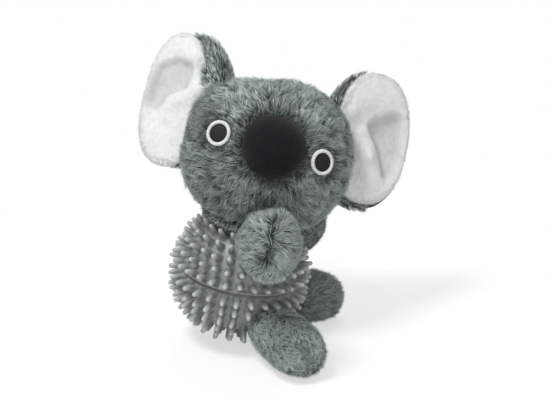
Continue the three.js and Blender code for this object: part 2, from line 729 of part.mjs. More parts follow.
function earAt(side, turnDeg, leanDeg) {
  const place = new THREE.Vector3(side * EAR_ROOT_ASIDE, EAR_ROOT_BACK, EAR_ROOT_RISE);
  const look = new THREE.Vector3(side * Math.sin(rad(turnDeg)), -Math.cos(rad(turnDeg)), 0);
  const up = new THREE.Vector3(side * Math.sin(rad(leanDeg)), 0, Math.cos(rad(leanDeg)));
  return groupAt(head, place, basisAlong(look, up));
}

function addEar(side, name, turnDeg, leanDeg) {
  const ear = earAt(side, turnDeg, leanDeg);
  const outlineOf = (inner, outer, height) => (angle) => {
    const across = power(Math.cos(angle), 2 / EAR_FULLNESS);
    const middle = side * (inner + outer) / 2;
    return [middle + (outer - inner) / 2 * across, height * power(Math.sin(angle), 2 / EAR_FULLNESS)];
  };
  const hollowAt = (share) => -EAR_HOLLOW * (1 - share ** 2);
  const back = (share) => hollowAt(share) - EAR_RIM / 2 - EAR_BACK_DEPTH * dome(share, EAR_FULLNESS);
  const face = (share) => hollowAt(share) + EAR_RIM / 2;
  const backPad = pad(outlineOf(0, EAR_WIDTH, EAR_HEIGHT / 2), face, back);
  const white = outlineOf(EAR_WHITE_INSET, EAR_WIDTH, EAR_HEIGHT / 2);
  const fluff = (share) => face(share) + SEAT_GAP + EAR_FRONT_DEPTH * dome(share, EAR_FULLNESS);
  const frontPad = pad(white, fluff, (share) => face(share) + SEAT_GAP);
  addPiece(ear, `${name}_ear_back`, cutEar(ear, solidOf(backPad)), 'plush');
  addPiece(ear, `${name}_ear_front`, cutEar(ear, solidOf(frontPad)), 'fleece');
}

function cutEar(ear, solid) {
  const cutter = seenFrom(ear, headForm(-SEAT_GAP), head);
  return cutSwept(solid, cutter, new THREE.Vector3(0, 1, 0), EAR_FOLD_DEG);
}

// Limbs

function limbForm(outlineShares, length, width, height, inset) {
  const curve = new THREE.SplineCurve(outlineShares.map(([out, along]) => new THREE.Vector2(out, along)));
  const inner = inset > 0;
  const profile = curve.getPoints(inner ? LIMB_INNER_RINGS : LIMB_RINGS).map(({ x, y }) => (
    [Math.max(x, 0) * (width / 2 - inset), inset + y * (length - 2 * inset)]
  ));
  profile[0][0] = 0;
  profile[profile.length - 1][0] = 0;
  return lathe(profile, inner ? LIMB_INNER_SIDES : LIMB_SIDES)
    .scale(1, (height / 2 - inset) / (width / 2 - inset), 1);
}

function armSolid(arm, inset) {
  const axis = axisIn(arm, UP, neck);
  let solid = solidOf(limbForm(armOutlineShares, ARM_LENGTH, ARM_WIDTH, ARM_HEIGHT, inset));
  solid = cutSwept(solid, seenFrom(arm, clearBall(yokeUnder + inset), neck), axis, ARM_SWING_DEG);
  return cutSwept(solid, seenFrom(arm, spaceAboveArms(2 * SEAT_GAP + inset), neck), axis, ARM_SWING_DEG);
}

function addArm(name, arm) {
  const inside = neck.getWorldPosition(new THREE.Vector3());
  const heart = new THREE.Vector3(0, 0, ARM_LENGTH / 2);
  const toBall = arm.worldToLocal(inside).sub(heart);
  const opening = rod(ARM_OPENING_RADIUS, 0, toBall.length())
    .applyMatrix4(basisAlong(toBall, UP).setPosition(heart));
  const skin = armSolid(arm, 0).subtract(armSolid(arm, PLUSH)).subtract(solidOf(opening));
  addPiece(arm, `${name}_arm_skin`, skin, 'plush');
  addPiece(arm, `${name}_arm_stuffing`, armSolid(arm, PLUSH + SEAT_GAP), 'fill');
}

function legSolid(leg, length, inset) {
  const axis = axisIn(leg, UP, toy);
  const solid = solidOf(limbForm(legOutlineShares, length, LEG_DIAMETER, LEG_DIAMETER, inset));
  const rim = clearBall(BALL_RADIUS + SEAT_GAP + inset);
  return cutSwept(solid, seenFrom(leg, rim, ball), axis, LEG_SWING_DEG)
    .subtract(solidOf(seenFrom(leg, floor.clone().translate(0, 0, inset), toy)));
}

function addLeg(name, leg, length) {
  const washerFace = -BALL_WALL - LEG_WASHER_SETBACK;
  const washerBack = washerFace - WASHER_THICKNESS;
  const stopFace = washerBack - SEAT_GAP;
  const stopBack = stopFace - STOP_THICKNESS;
  const stem = solidOf(hipRod(leg, LEG_STEM_RADIUS, stopBack + STOP_THICKNESS / 2, LEG_DIAMETER / 4, leg))
    .add(solidOf(hipRod(leg, LEG_STEM_RADIUS + STOP_FLARE, stopBack, stopFace, leg)));
  const bore = hipRod(leg, LEG_STEM_BORE, stopFace - OVERRUN, LEG_DIAMETER / 2, leg);
  const skin = legSolid(leg, length, 0).add(stem).subtract(legSolid(leg, length, PLUSH)).subtract(solidOf(bore));
  addPiece(leg, `${name}_leg_skin`, skin, 'plush');
  addPiece(leg, `${name}_leg_stuffing`, legSolid(leg, length, PLUSH + SEAT_GAP), 'fill');
  const washer = solidOf(hipRod(leg, LEG_WASHER_RADIUS, washerBack, washerFace, leg))
    .subtract(solidOf(hipRod(leg, LEG_STEM_RADIUS + SEAT_GAP, washerBack - OVERRUN, 0, leg)));
  addPiece(leg, `${name}_leg_washer`, washer, 'plastic');
}

addBall();
addSqueaker();
addNeck();
addHead();
addNose();
addEye('right', RIGHT_EYE_ASIDE, RIGHT_EYE_RISE);
addEye('left', LEFT_EYE_ASIDE, LEFT_EYE_RISE);
addEar(-1, 'right', RIGHT_EAR_TURN_DEG, RIGHT_EAR_LEAN_DEG);
addEar(1, 'left', LEFT_EAR_TURN_DEG, LEFT_EAR_LEAN_DEG);
addArm('right', limbs.rightArm);
addArm('left', limbs.leftArm);
addLeg('right', limbs.rightLeg, RIGHT_LEG_LENGTH);
addLeg('left', limbs.leftLeg, LEFT_LEG_LENGTH);

// Puts the origin on the floor under the middle of the toy
const bounds = new THREE.Box3().setFromObject(koala, true);
const middle = bounds.getCenter(new THREE.Vector3());
toy.position.set(-middle.x, -middle.y, -bounds.min.z);

export default koala;
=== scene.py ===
# A plush koala toy: a stuffed head, two arms and two legs on a body that is a hollow ball with soft rubber
# spikes. Metres, +Z up, the face towards -Y. Right and left are the toy's own.
import json
import math
from contextlib import contextmanager
import bpy
import numpy as np
from mathutils import Matrix, Vector, kdtree, noise


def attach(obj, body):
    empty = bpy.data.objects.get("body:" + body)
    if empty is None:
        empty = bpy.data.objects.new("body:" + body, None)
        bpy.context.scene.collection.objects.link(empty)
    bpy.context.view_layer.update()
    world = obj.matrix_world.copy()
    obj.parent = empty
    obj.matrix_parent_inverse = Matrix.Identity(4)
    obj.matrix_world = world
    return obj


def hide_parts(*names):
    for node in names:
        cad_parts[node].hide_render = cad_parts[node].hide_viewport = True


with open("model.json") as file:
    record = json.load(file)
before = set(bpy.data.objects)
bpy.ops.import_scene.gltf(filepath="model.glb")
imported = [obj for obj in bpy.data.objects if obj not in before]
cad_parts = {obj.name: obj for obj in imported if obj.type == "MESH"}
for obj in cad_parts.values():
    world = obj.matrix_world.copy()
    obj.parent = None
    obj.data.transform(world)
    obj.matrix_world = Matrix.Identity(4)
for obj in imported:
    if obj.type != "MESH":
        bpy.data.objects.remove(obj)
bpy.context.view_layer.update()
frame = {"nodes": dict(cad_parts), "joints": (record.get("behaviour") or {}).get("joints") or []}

# The toy's sizes
SIDES = {"right": -1, "left": 1}
SEAT_GAP = 0.0004
FLOOR_FLAT = 0.0005
BALL_RADIUS = 0.029
BALL_WALL = 0.0032
BALL_LEAN = math.radians(10)
SPIKE_LENGTH = 0.007
SPIKE_BASE = 0.0037
SPIKE_TIP = 0.0019
SPIKE_SHARES = (1, 0.8, 0.62, 0.48)  # what may be left of a spike's length where a leg takes its room
SPIKE_LEAN = 0.05
SPIKES_ROUND = 30
SPIKE_CREASE = math.radians(50)  # edges of the rubber that bend further than this stay sharp
FIRST_ROW = 0.0037
ROW_PITCH = 0.00533
# A spike's radius at each height, as a share of its width at the shell
SPIKE_FOOT = (-0.0004, 0.72)
SPIKE_OUTLINE = ((0.0007, 0.5), (0.0030, 0.43), (0.0055, 0.34), (0.0065, 0.27), (SPIKE_LENGTH, 0.12))
# How far the lip of the upper half stands out at each height, and how far the lower half's edge is cut back
LIP_HEIGHTS = [0.0002, 0.0005, 0.0011, 0.0017, 0.0024]
LIP_DEPTHS = {1: [0.0013, 0.0016, 0.0016, 0.0008, 0], -1: [-0.0006, -0.0004, 0, 0, 0]}
# painted shadow under the lip, at each height down the lower half's edge
SEAM_SHADE = [1, 1, 1, 0.7, 0]
NECK_HOLE_RADIUS = 0.0083
LEG_HOLE_RADIUS = 0.0048
PAD_SPREAD = math.radians(20)
NECK_TILT = math.radians(6)
YOKE_SPREAD = math.radians(37)
YOKE_THICKNESS = 0.0025
HEAD_WIDTH = 0.083
HEAD_HEIGHT = 0.072
FACE_DEPTH = 0.031
NAPE_DEPTH = 0.034
HEAD_FULLNESS = 2.2
CROWN_FULLNESS = 3.0
CROWN_SWELLS = ((0.0034, 0.010, 0.015), (0.0010, -0.021, 0.010))  # height, place across and half width
HEAD_SINK = 0.0147
HEAD_ASIDE = 0.003
HEAD_LUMPS = {"scale": 0.02, "seed": 1}
HEAD_LUMP_HEIGHT = 0.0006
HEAD_TURNS = ((5, "Z"), (-18, "X"), (5, "Y"))
SHOULDER_LINE = [(0.89, 0.81), (0.97, 0.66), (1.04, 0.42), (1.1, 0.13)]
PILE = 0.0022  # how far the pile stands out of the cloth
SHORTEST_STRAND = 0.05
CUT_SHORT = 0.4  # what is left of a strand where a neighbour would meet it
# How far the cloth and the roots of the pile keep off their neighbours, and how high each lies over the floor
HEAD_ROOM = 0.0008
UNDER_HEAD_ROOM = 0.0014
ARM_ROOM = 0.0006
LEG_ROOM = 0.0008
ARM_PILE_ROOM = 0.0012
LEG_PILE_ROOM = 0.0014
CLOTH_ON_FLOOR = 0.0006
ROOTS_ON_FLOOR = 0.0012
PILE_ON_FLOOR = 0.0001
BALL_ON_FLOOR = 0.00005
SPIKE_IN_PILE = 0.0017  # how deep a spike may stand in a leg's pile
HEAD_SWELL = 0.0012
LIMB_SWELL = 0.0008
HEAD_CELL = 0.0023
LIMB_CELL = 0.0014
STITCH_REACH = 0.0026
NOSE_WIDTH = 0.0288
NOSE_HEIGHT = 0.030
NOSE_STANDOUT = 0.009
NOSE_RIM = 0.0008
NOSE_BACK_DEPTH = 0.002
NOSE_FULLNESS = 2.2
NOSE_TUCK = 0.0006  # how far the pile goes under the nose's edge
FACE_FRONT = -0.012  # what lies further back than this isn't beside the nose
NOSE_PLACE = (-0.0016, 0.0048)
EYE_RADIUS = 0.006
EYE_RING_WIDTH = 0.0015
EYE_THREADS = 36
THREAD_SLANT = 900
THREAD_SIZES = (0.00016, 0.00030)  # how far the threads and their unevenness reach out of the ring
EYE_DISC_RISE = 0.0011
EYE_REACH = 0.008
EYE_PLACES = {"right": (-0.0276, 0.0053), "left": (0.0226, 0.0030)}
EAR_ROOT = (0.026, 0.003, 0.018)
EAR_WIDTH = 0.044
EAR_HEIGHT = 0.068
EAR_FULLNESS = 2.3
EAR_BACK_DEPTH = 0.010
EAR_FRONT_DEPTH = 0.0055
EAR_HOLLOW = 0.004
EAR_RIM = 0.0016
EAR_IN_HEAD = 0.003
PILE_IN_HEAD = 0.0005  # an ear has no pile deeper in the head than this
EAR_BACK_TOP = 1 - 0.0016 / (EAR_HEIGHT / 2)
EAR_BACK_FEET = {"right": 0.953, "left": 1}
# How far below its middle each white front reaches, and which share of the way to the ear's top
EAR_FEET = {"right": EAR_HEIGHT / 2, "left": 0.0315}
EAR_WHITE_TOPS = {"right": 0.95, "left": 0.98}
# How far out from the ear's root each white front begins, at heights from its middle
WHITE_INSETS = {
    "right": ([-0.034, -0.004, 0.004, 0.010, 0.016, 0.034], [0.006, 0.007, 0.010, 0.0115, 0.013, 0.012]),
    "left": ([0.008, 0.024, 0.034], [0.005, 0.0034, 0.002]),
}
ROLLED_RIMS = {"right": 0.0062, "left": 0.0036}
ARM_SIZE = (0.031, 0.036, 0.040)
ARM_SLIMMER = 0.0014
LEG_DIAMETER = 0.027
LEG_LENGTHS = {"right": 0.0435, "left": 0.037}
LEG_SCALES = {"right": (1, 1, 1), "left": (0.95, 0.95, 0.965)}
LEG_AZIMUTHS = {"right": 33, "left": 120}
HIP_LATITUDE = math.radians(-42)
ARM_SWING = math.radians(10)
LEG_SWING = math.radians(12)
LEG_ROOT_SHARE = 0.72
# Half width and depth of the crease along each seam
ARM_CREASE = (0.0032, 0.0026)
LEG_CREASE = (0.0026, 0.0018)
# How far each leg's pile lies over, in degrees, and its painted light: the right leg's pile is brightened as
# if lit, the left's is darkened as painted shade
LEG_LIES = {"right": 68, "left": 48}
LEG_PAINTED_LIGHT = {"right": 1.38, "left": 0.68}
# painted light: each arm's pile is brightened as if lit
ARM_PAINTED_LIGHT = 1.12
# Outlines of the stuffed limbs: the share of the half width and of the length, from the root to the end
ARM_OUTLINE = [
    (0, 0), (0.36, 0.01), (0.6, 0.08), (0.84, 0.28), (0.97, 0.52),
    (1, 0.7), (0.9, 0.87), (0.62, 0.985), (0.3, 1), (0, 0.955),
]
LEG_OUTLINE = [
    (0, 0), (0.62, 0.01), (0.86, 0.07), (0.98, 0.25), (1, 0.5),
    (1, 0.68), (0.9, 0.86), (0.66, 0.98), (0.32, 1), (0, 0.97),
]
CLOTH_SCALE = 5
CLOTH_STEPS = 20
CLOTH_SETTINGS = {
    "mass": 0.02, "use_pressure": True, "uniform_pressure_force": 120, "tension_stiffness": 0.3,
    "compression_stiffness": 0.3, "shear_stiffness": 0.1, "bending_stiffness": 0.05,
}
BALL_REACH = BALL_RADIUS + SPIKE_LENGTH
YOKE_UNDER = BALL_REACH + SEAT_GAP
YOKE_OVER = YOKE_UNDER + YOKE_THICKNESS
YOKE_MIDDLE = (YOKE_UNDER + YOKE_OVER) / 2
HEAD_SEAT = YOKE_OVER + SEAT_GAP
HEAD_RISE = HEAD_SEAT + HEAD_HEIGHT / 2 - HEAD_SINK
UP = Vector((0, 0, 1))

# Where each part of the toy stands
joints = {joint["name"]: joint for joint in frame["joints"]}
ball_centre = Vector(joints["neck_tilt"]["pos_m"])
toy_place = ball_centre - Vector((0, 0, BALL_REACH - FLOOR_FLAT))
ball_place = Matrix.Translation(ball_centre) @ Matrix.Rotation(BALL_LEAN, 4, "Y")
head_turn = Matrix.Identity(4)
for degrees, axis in HEAD_TURNS:
    head_turn = head_turn @ Matrix.Rotation(math.radians(degrees), 4, axis)
head_place = ball_place @ Matrix.Translation((HEAD_ASIDE, 0, HEAD_RISE)) @ head_turn


def basis_along(along, near):
    z = Vector(along).normalized()
    x = Vector(near).cross(z).normalized()
    return Matrix((x, z.cross(x), z)).transposed().to_4x4()


def outwards(azimuth):
    return Vector((math.sin(math.radians(azimuth)), -math.cos(math.radians(azimuth)), 0))


def arm_place(azimuth, droop):
    shoulder = outwards(azimuth) * (YOKE_MIDDLE * math.sin(YOKE_SPREAD) + YOKE_THICKNESS / 2)
    shoulder.z = YOKE_MIDDLE * math.cos(YOKE_SPREAD)
    along = outwards(azimuth) * math.cos(math.radians(droop)) - UP * math.sin(math.radians(droop))
    return ball_place @ Matrix.Translation(shoulder) @ basis_along(along, UP)


def leg_place(side):
    hip = outwards(LEG_AZIMUTHS[side]) * (BALL_RADIUS * math.cos(HIP_LATITUDE))
    hip.z = BALL_REACH - FLOOR_FLAT + BALL_RADIUS * math.sin(HIP_LATITUDE)
    drop = hip.z - (LEG_DIAMETER / 2 - FLOOR_FLAT)
    reach = LEG_LENGTHS[side] - LEG_DIAMETER / 2
    along = outwards(LEG_AZIMUTHS[side]) * math.sqrt(reach ** 2 - drop ** 2) - UP * drop
    return Matrix.Translation(toy_place + hip) @ basis_along(along, UP)


def ear_place(side, turn, lean):
    lean = math.radians(side * lean)
    root = Matrix.Translation((side * EAR_ROOT[0], *EAR_ROOT[1:]))
    return head_place @ root @ basis_along(outwards(side * turn), Vector((math.sin(lean), 0, math.cos(lean))))


arm_places = {"right": arm_place(10, -9), "left": arm_place(144, 32)}
leg_places = {name: leg_place(name) for name in SIDES}
ear_places = {"right": ear_place(-1, 32, -2), "left": ear_place(1, 12, -5)}


# Modelling

def only(piece):
    bpy.ops.object.select_all(action="DESELECT")
    piece.select_set(True)
    bpy.context.view_layer.objects.active = piece


@contextmanager
def editing(piece):
    """Edit mode, with all of a piece selected."""
    only(piece)
    bpy.ops.object.mode_set(mode="EDIT")
    bpy.ops.mesh.select_all(action="SELECT")
    yield
    bpy.ops.object.mode_set(mode="OBJECT")


def made(add, **settings):
    """The new object that an add operator makes, with its place in its mesh."""
    bpy.ops.object.select_all(action="DESELECT")
    add(**settings)
    bpy.ops.object.transform_apply(location=True, rotation=True, scale=True)
    return bpy.context.object


def values_of(piece, key):
    numbers = np.zeros(len(piece.data.vertices) * 3)
    piece.data.vertices.foreach_get(key, numbers)
    return numbers.reshape(-1, 3)


def points_of(piece):
    return values_of(piece, "co")


def set_points(piece, points):
    piece.data.vertices.foreach_set("co", np.asarray(points, dtype=np.float32).ravel())
    piece.data.update()


def faces_of(piece):
    return [list(face.vertices) for face in piece.data.polygons]


def columns(*values):
    return np.stack(np.broadcast_arrays(*values), axis=1)


def moved(points, matrix):
    flat = np.array(matrix)
    return points @ flat[:3, :3].T + flat[:3, 3]


def seen_from(points, place):
    """The points in a place's own frame."""
    return moved(points, place.inverted())


def turned(vectors, place):
    """Directions of a place's own frame in the toy's frame."""
    return vectors @ np.array(place.to_3x3()).T


def off_axis(points):
    return np.hypot(points[:, 0], points[:, 1])


def unit(vectors):
    return vectors / np.maximum(np.linalg.norm(vectors, axis=1, keepdims=True), 1e-12)


def share_from(value, start, span):
    """Goes from 0 to 1 while a value goes from start through a span."""
    return np.clip((value - start) / span, 0, 1)


def eased(value):
    value = np.clip(value, 0, 1)
    return value * value * (3 - 2 * value)


def superellipse(x, y, fullness):
    return (np.abs(x) ** fullness + np.abs(y) ** fullness) ** (1 / fullness)


def dome(share, fullness):
    return np.abs(1 - share ** 2) ** (1 / fullness)


def power(value, exponent):
    return np.sign(value) * np.abs(value) ** exponent


def lumps(points, scale, seed):
    """Smooth random heights between about -1 and 1 at the given points."""
    shift = Vector((seed * 7.3, seed * 3.1, seed * 5.7))
    return np.array([noise.noise(Vector(point) / scale + shift) for point in points])


def give_values(mesh, name, values):
    layer = mesh.attributes.new(name, "FLOAT", "POINT")
    layer.data.foreach_set("value", np.asarray(values, dtype=np.float32))


def apply_all(piece):
    only(piece)
    for modifier in list(piece.modifiers):
        bpy.ops.object.modifier_apply(modifier=modifier.name)


def relax(piece, iterations):
    softer = piece.modifiers.new("relax", "SMOOTH")
    softer.factor = 0.5
    softer.iterations = iterations


def smooth(piece):
    only(piece)
    bpy.ops.object.shade_smooth()


def face_out(piece):
    with editing(piece):
        bpy.ops.mesh.normals_make_consistent(inside=False)


def from_lowest(corners):
    first = corners.index(min(corners))
    return corners[first:] + corners[:first]


def round_form(name, segments, rings):
    """A unit ball with its poles on the Z axis, ready to be shaped. Its faces are put in order, because a new
    ball lists them in another order each time, and the pile is strewn in that order."""
    piece = made(bpy.ops.mesh.primitive_uv_sphere_add, segments=segments, ring_count=rings, radius=1)
    faces = sorted(from_lowest(face) for face in faces_of(piece))
    mesh = bpy.data.meshes.new(name)
    mesh.from_pydata(points_of(piece).tolist(), [], faces)
    piece.name = name
    piece.data = mesh
    return piece


def pad_form(name, segments, rings, outline, top, bottom):
    """A closed pad. outline gives its edge at each angle, and top and bottom give its height from a share of
    the way out."""
    piece = round_form(name, segments, rings)
    way = points_of(piece)
    share = np.clip(off_axis(way), 0, 1)
    x, y = outline(np.arctan2(way[:, 1], way[:, 0]))
    flat = np.stack([x * share, y * share], axis=1)
    over, under = top(share, flat), bottom(share, flat)
    height = np.where(way[:, 2] >= 0, over, under)
    edge = np.abs(way[:, 2]) < 1e-6
    height[edge] = (over[edge] + under[edge]) / 2
    set_points(piece, np.column_stack([flat, height]))
    face_out(piece)
    return piece


def finish_piece(piece, body, slot_name, material, *nodes):
    piece.data.materials.clear()
    piece.data.materials.append(material)
    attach(piece, body)
    if nodes:
        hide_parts(*nodes)


def finish_padded(piece, body, slot_name, material, fill, *nodes):
    smooth(piece)
    finish_piece(piece, body, slot_name, material, *nodes)


def to_line(points, start, end):
    """The nearest places to the points on a straight line between two ends."""
    start = np.array(start, dtype=float)
    line = np.array(end, dtype=float) - start
    along = np.clip((points - start) @ line / (line @ line), 0, 1)
    return start + along[:, None] * line


def to_seam(points, seam):
    """The nearest places to the points on a seam of several straight lines."""
    best = to_line(points, *seam[0])
    for line in seam[1:]:
        other = to_line(points, *line)
        closer = np.linalg.norm(points - other, axis=1) < np.linalg.norm(points - best, axis=1)
        best[closer] = other[closer]
    return best


def off_seam(points, seam):
    return np.linalg.norm(points - to_seam(points, seam), axis=1)


def pinch(points, middle, seam, half, depth):
    """Draws a stuffed form in towards its middle along a seam."""
    inward = unit(np.array(middle) - points)
    return points + inward * (depth * np.exp(-(off_seam(points, seam) / half) ** 2))[:, None]


def pushed_out(points, radius):
    """Moves points out of a ball round the origin."""
    far = np.linalg.norm(points, axis=1)
    return points * (np.maximum(far, radius) / np.maximum(far, 1e-6))[:, None]


def plump(piece, cell, swell, held):
    """Fills a stuffed form by cloth simulation. held picks the places that its seams and stitches keep. The
    solver works at CLOTH_SCALE times the size, and the cloth goes out by no more than swell."""
    set_points(piece, points_of(piece) * CLOTH_SCALE)
    even = piece.modifiers.new("even", "REMESH")
    even.mode = "VOXEL"
    even.voxel_size = cell * CLOTH_SCALE
    apply_all(piece)
    start = points_of(piece)
    kept = held(start / CLOTH_SCALE)
    seams = piece.vertex_groups.new(name="seams")
    seams.add(np.flatnonzero(kept).tolist(), 1, "REPLACE")
    cloth = piece.modifiers.new("cloth", "CLOTH")
    for key, value in CLOTH_SETTINGS.items():
        setattr(cloth.settings, key, value)
    cloth.settings.effector_weights.gravity = 0
    cloth.settings.vertex_group_mass = seams.name
    cloth.collision_settings.use_collision = False
    for step in range(1, CLOTH_STEPS + 1):
        bpy.context.scene.frame_set(step)
    apply_all(piece)
    bpy.context.scene.frame_set(1)
    piece.vertex_groups.clear()
    move = points_of(piece) - start
    far = np.linalg.norm(move, axis=1, keepdims=True)
    move *= np.minimum(1, swell * CLOTH_SCALE / np.maximum(far, 1e-9))
    set_points(piece, (start + move) / CLOTH_SCALE)
    relax(piece, 3)
    finer = piece.modifiers.new("finer", "SUBSURF")
    finer.levels = finer.render_levels = 1
    apply_all(piece)
    face_out(piece)


def through_range(joint_name, test):
    """Makes a test of points that also holds where a joint turns them to the ends of its range."""
    joint = joints[joint_name]
    pivot, axis = np.array(joint["pos_m"]), Vector(joint["axis"])

    def met(points):
        found = test(points)
        for degrees in joint["range_deg"]:
            turn = np.array(Matrix.Rotation(math.radians(degrees), 3, axis))
            found = found | test((points - pivot) @ turn.T + pivot)
        return found
    return met


# Materials

WHITE = (1, 1, 1)


def grey(value):
    return (value, value, value)


def add_node(tree, kind, inputs=None, **settings):
    """A new shader node. Each of its inputs takes another node's output or a plain value."""
    node = tree.nodes.new(f"ShaderNode{kind}")
    for key, value in settings.items():
        setattr(node, key, value)
    for key, value in (inputs or {}).items():
        if isinstance(value, bpy.types.NodeSocket):
            tree.links.new(value, node.inputs[key])
        else:
            node.inputs[key].default_value = value
    return node


def node_material(name, roughness, gloss=0.5):
    material = bpy.data.materials.new(name)
    material.use_nodes = True
    tree = material.node_tree
    shader = tree.nodes["Principled BSDF"]
    shader.inputs["Roughness"].default_value = roughness
    shader.inputs["Specular IOR Level"].default_value = gloss
    return material, tree, shader


def ramp(tree, source, *stops):
    node = add_node(tree, "ValToRGB", {"Fac": source})
    while len(node.color_ramp.elements) < len(stops):
        node.color_ramp.elements.new(0.5)
    for element, (place, colour) in zip(node.color_ramp.elements, stops):
        element.position = place
        element.color = (*colour, 1)
    return node.outputs["Color"]


def grain(tree, scale, detail=4, stretch=None):
    place = add_node(tree, "TexCoord").outputs["Object"]
    if stretch:
        place = add_node(tree, "Mapping", {"Vector": place, "Scale": stretch}).outputs["Vector"]
    return add_node(tree, "TexNoise", {"Vector": place, "Scale": scale, "Detail": detail}).outputs["Fac"]


def attribute(tree, name):
    return add_node(tree, "Attribute", attribute_name=name).outputs["Fac"]


def set_colour(tree, shader, *colours):
    """Gives a shader the product of several colours."""
    colour = colours[0]
    for other in colours[1:]:
        node = add_node(tree, "Mix", data_type="RGBA", blend_type="MULTIPLY")
        sockets = {socket.name: socket for socket in node.inputs if socket.enabled}
        sockets["Factor"].default_value = 1
        tree.links.new(colour, sockets["A"])
        tree.links.new(other, sockets["B"])
        colour = next(socket for socket in node.outputs if socket.enabled)
    tree.links.new(colour, shader.inputs["Base Color"])


def bump(tree, shader, height, strength, distance):
    node = add_node(tree, "Bump", {"Strength": strength, "Distance": distance, "Height": height})
    tree.links.new(node.outputs["Normal"], shader.inputs["Normal"])


def pile_material(name, root, middle, tip, dull):
    material, tree, shader = node_material(name, 0.7, 0.2)
    along = ramp(tree, attribute(tree, "tip"), (0.0, root), (0.45, middle), (1.0, tip))
    # the tone attribute holds the strands' random tone times the painted light and shade on them
    tone_and_painted_light = ramp(tree, attribute(tree, "tone_and_painted_light"), (0.0, dull), (1.0, WHITE))
    patches = ramp(tree, grain(tree, 90, 2), (0.35, grey(0.86)), (0.65, WHITE))
    set_colour(tree, shader, along, tone_and_painted_light, patches)
    return material


def cloth_material(name, dark, light, scale, depth=0.0008):
    material, tree, shader = node_material(name, 0.9, 0.1)
    fine = grain(tree, scale, 6)
    # painted shade: the cloth is greyer where its hollow attribute marks a hollow of the ear's fleece
    hollow = ramp(tree, attribute(tree, "hollow"), (0.0, WHITE), (1.0, grey(0.78)))
    set_colour(tree, shader, ramp(tree, fine, (0.35, dark), (0.65, light)), hollow)
    bump(tree, shader, fine, 0.6, depth)
    return material


def rubber_material(name, *along_spike):
    material, tree, shader = node_material(name, 0.42)
    along = ramp(tree, attribute(tree, "tip"), *along_spike)
    mottled = ramp(tree, grain(tree, 260, 3), (0.3, grey(0.86)), (0.7, WHITE))
    # painted shadow of the upper half's lip, darkening the lower half's edge where the seam attribute marks it
    painted_lip_shadow = ramp(tree, attribute(tree, "seam"), (0.0, WHITE), (1.0, grey(0.42)))
    set_colour(tree, shader, along, mottled, painted_lip_shadow)
    shader.inputs["Subsurface Weight"].default_value = 0.08
    shader.inputs["Subsurface Scale"].default_value = 0.002
    bump(tree, shader, grain(tree, 1800, 3), 0.12, 0.0002)
    return material


def thread_material(name, dark, light, roughness, gloss=0.5):
    material, tree, shader = node_material(name, roughness, gloss)
    strands = grain(tree, 900, 2, (1, 1, 7))
    set_colour(tree, shader, ramp(tree, strands, (0.3, dark), (0.7, light)))
    bump(tree, shader, strands, 0.5, 0.0003)
    return material


def plastic_material(name, colour):
    material, tree, shader = node_material(name, 0.35)
    set_colour(tree, shader, ramp(tree, grain(tree, 150, 3), (0.3, [0.9 * c for c in colour]), (0.7, colour)))
    bump(tree, shader, grain(tree, 900, 2), 0.08, 0.0002)
    return material


grey_pile = pile_material(
    "grey plush pile", (0.06, 0.066, 0.064), (0.36, 0.42, 0.397), (0.88, 0.985, 0.94), grey(0.18),
)
white_pile = pile_material(
    "white fleece pile", (0.64, 0.645, 0.64), (0.70, 0.705, 0.70), (0.76, 0.765, 0.76), grey(0.95),
)
grey_cloth = cloth_material("grey plush cloth", (0.03, 0.036, 0.036), (0.10, 0.12, 0.115), 700)
white_cloth = cloth_material("white fleece cloth", (0.61, 0.615, 0.61), (0.68, 0.685, 0.68), 500, 0.0002)
velour = cloth_material("black velour", (0.004, 0.004, 0.005), (0.011, 0.011, 0.012), 1400)
velour.node_tree.nodes["Principled BSDF"].inputs["Sheen Weight"].default_value = 0.05
grey_rubber = rubber_material(
    "grey rubber", (0.0, (0.225, 0.244, 0.238)), (0.3, (0.165, 0.18, 0.175)), (0.7, (0.33, 0.356, 0.347)),
    (1.0, (0.45, 0.478, 0.469)),
)
white_thread = thread_material("white thread", (0.42, 0.44, 0.43), (0.80, 0.81, 0.80), 0.8)
black_thread = thread_material("black thread", (0.006, 0.006, 0.007), (0.02, 0.02, 0.022), 0.6, 0.15)
clear_plastic = plastic_material("milky plastic", (0.8, 0.8, 0.76))


# Pile: one strand is modelled and copied over the cloth

STRAND_BELLY = 1.7
STRAND_MIDDLE = 0.45
STRAND_SIZES = (0.7, 1.15)
ROOT_DEPTH = 0.0003
# How far over a strand leans at its foot and at its tip, as a share of the way that the pile lies
FOOT_LEAN = 0.6
TIP_LEAN = 1.25
LEAN_WAVES = 0.10
LEAN_SPREAD = 0.12
SWAY_SPREAD = 0.22
CURL_SPREAD = 0.16
USUAL_WAVINESS = 0.2
WAVE_LENGTH = 0.0045
MEAN_TONE = 0.66
STRAND_TONES = 0.22
TUFT_TONES = 0.26
WAVE_TONES = 0.1
LIMB_STRANDS = {"length": 0.0060, "width": 0.00013, "tuft": 8, "gather": 0.3}


def taken_shape(piece):
    """The points and faces of a piece that was modelled to be copied, and then goes."""
    points, faces = points_of(piece), faces_of(piece)
    bpy.data.objects.remove(piece)
    return points, faces


def model_strand():
    strand = made(
        bpy.ops.mesh.primitive_cone_add, vertices=3, radius1=1, radius2=0, depth=1, end_fill_type="NGON",
        location=(0, 0, 0.5),
    )
    with editing(strand):
        bpy.ops.mesh.bisect(plane_co=(0, 0, 0.5), plane_no=(0, 0, 1))
    points, faces = taken_shape(strand)
    points[np.abs(points[:, 2] - 0.5) < 0.01, :2] *= STRAND_BELLY
    return points, faces


strand_points, strand_faces = model_strand()


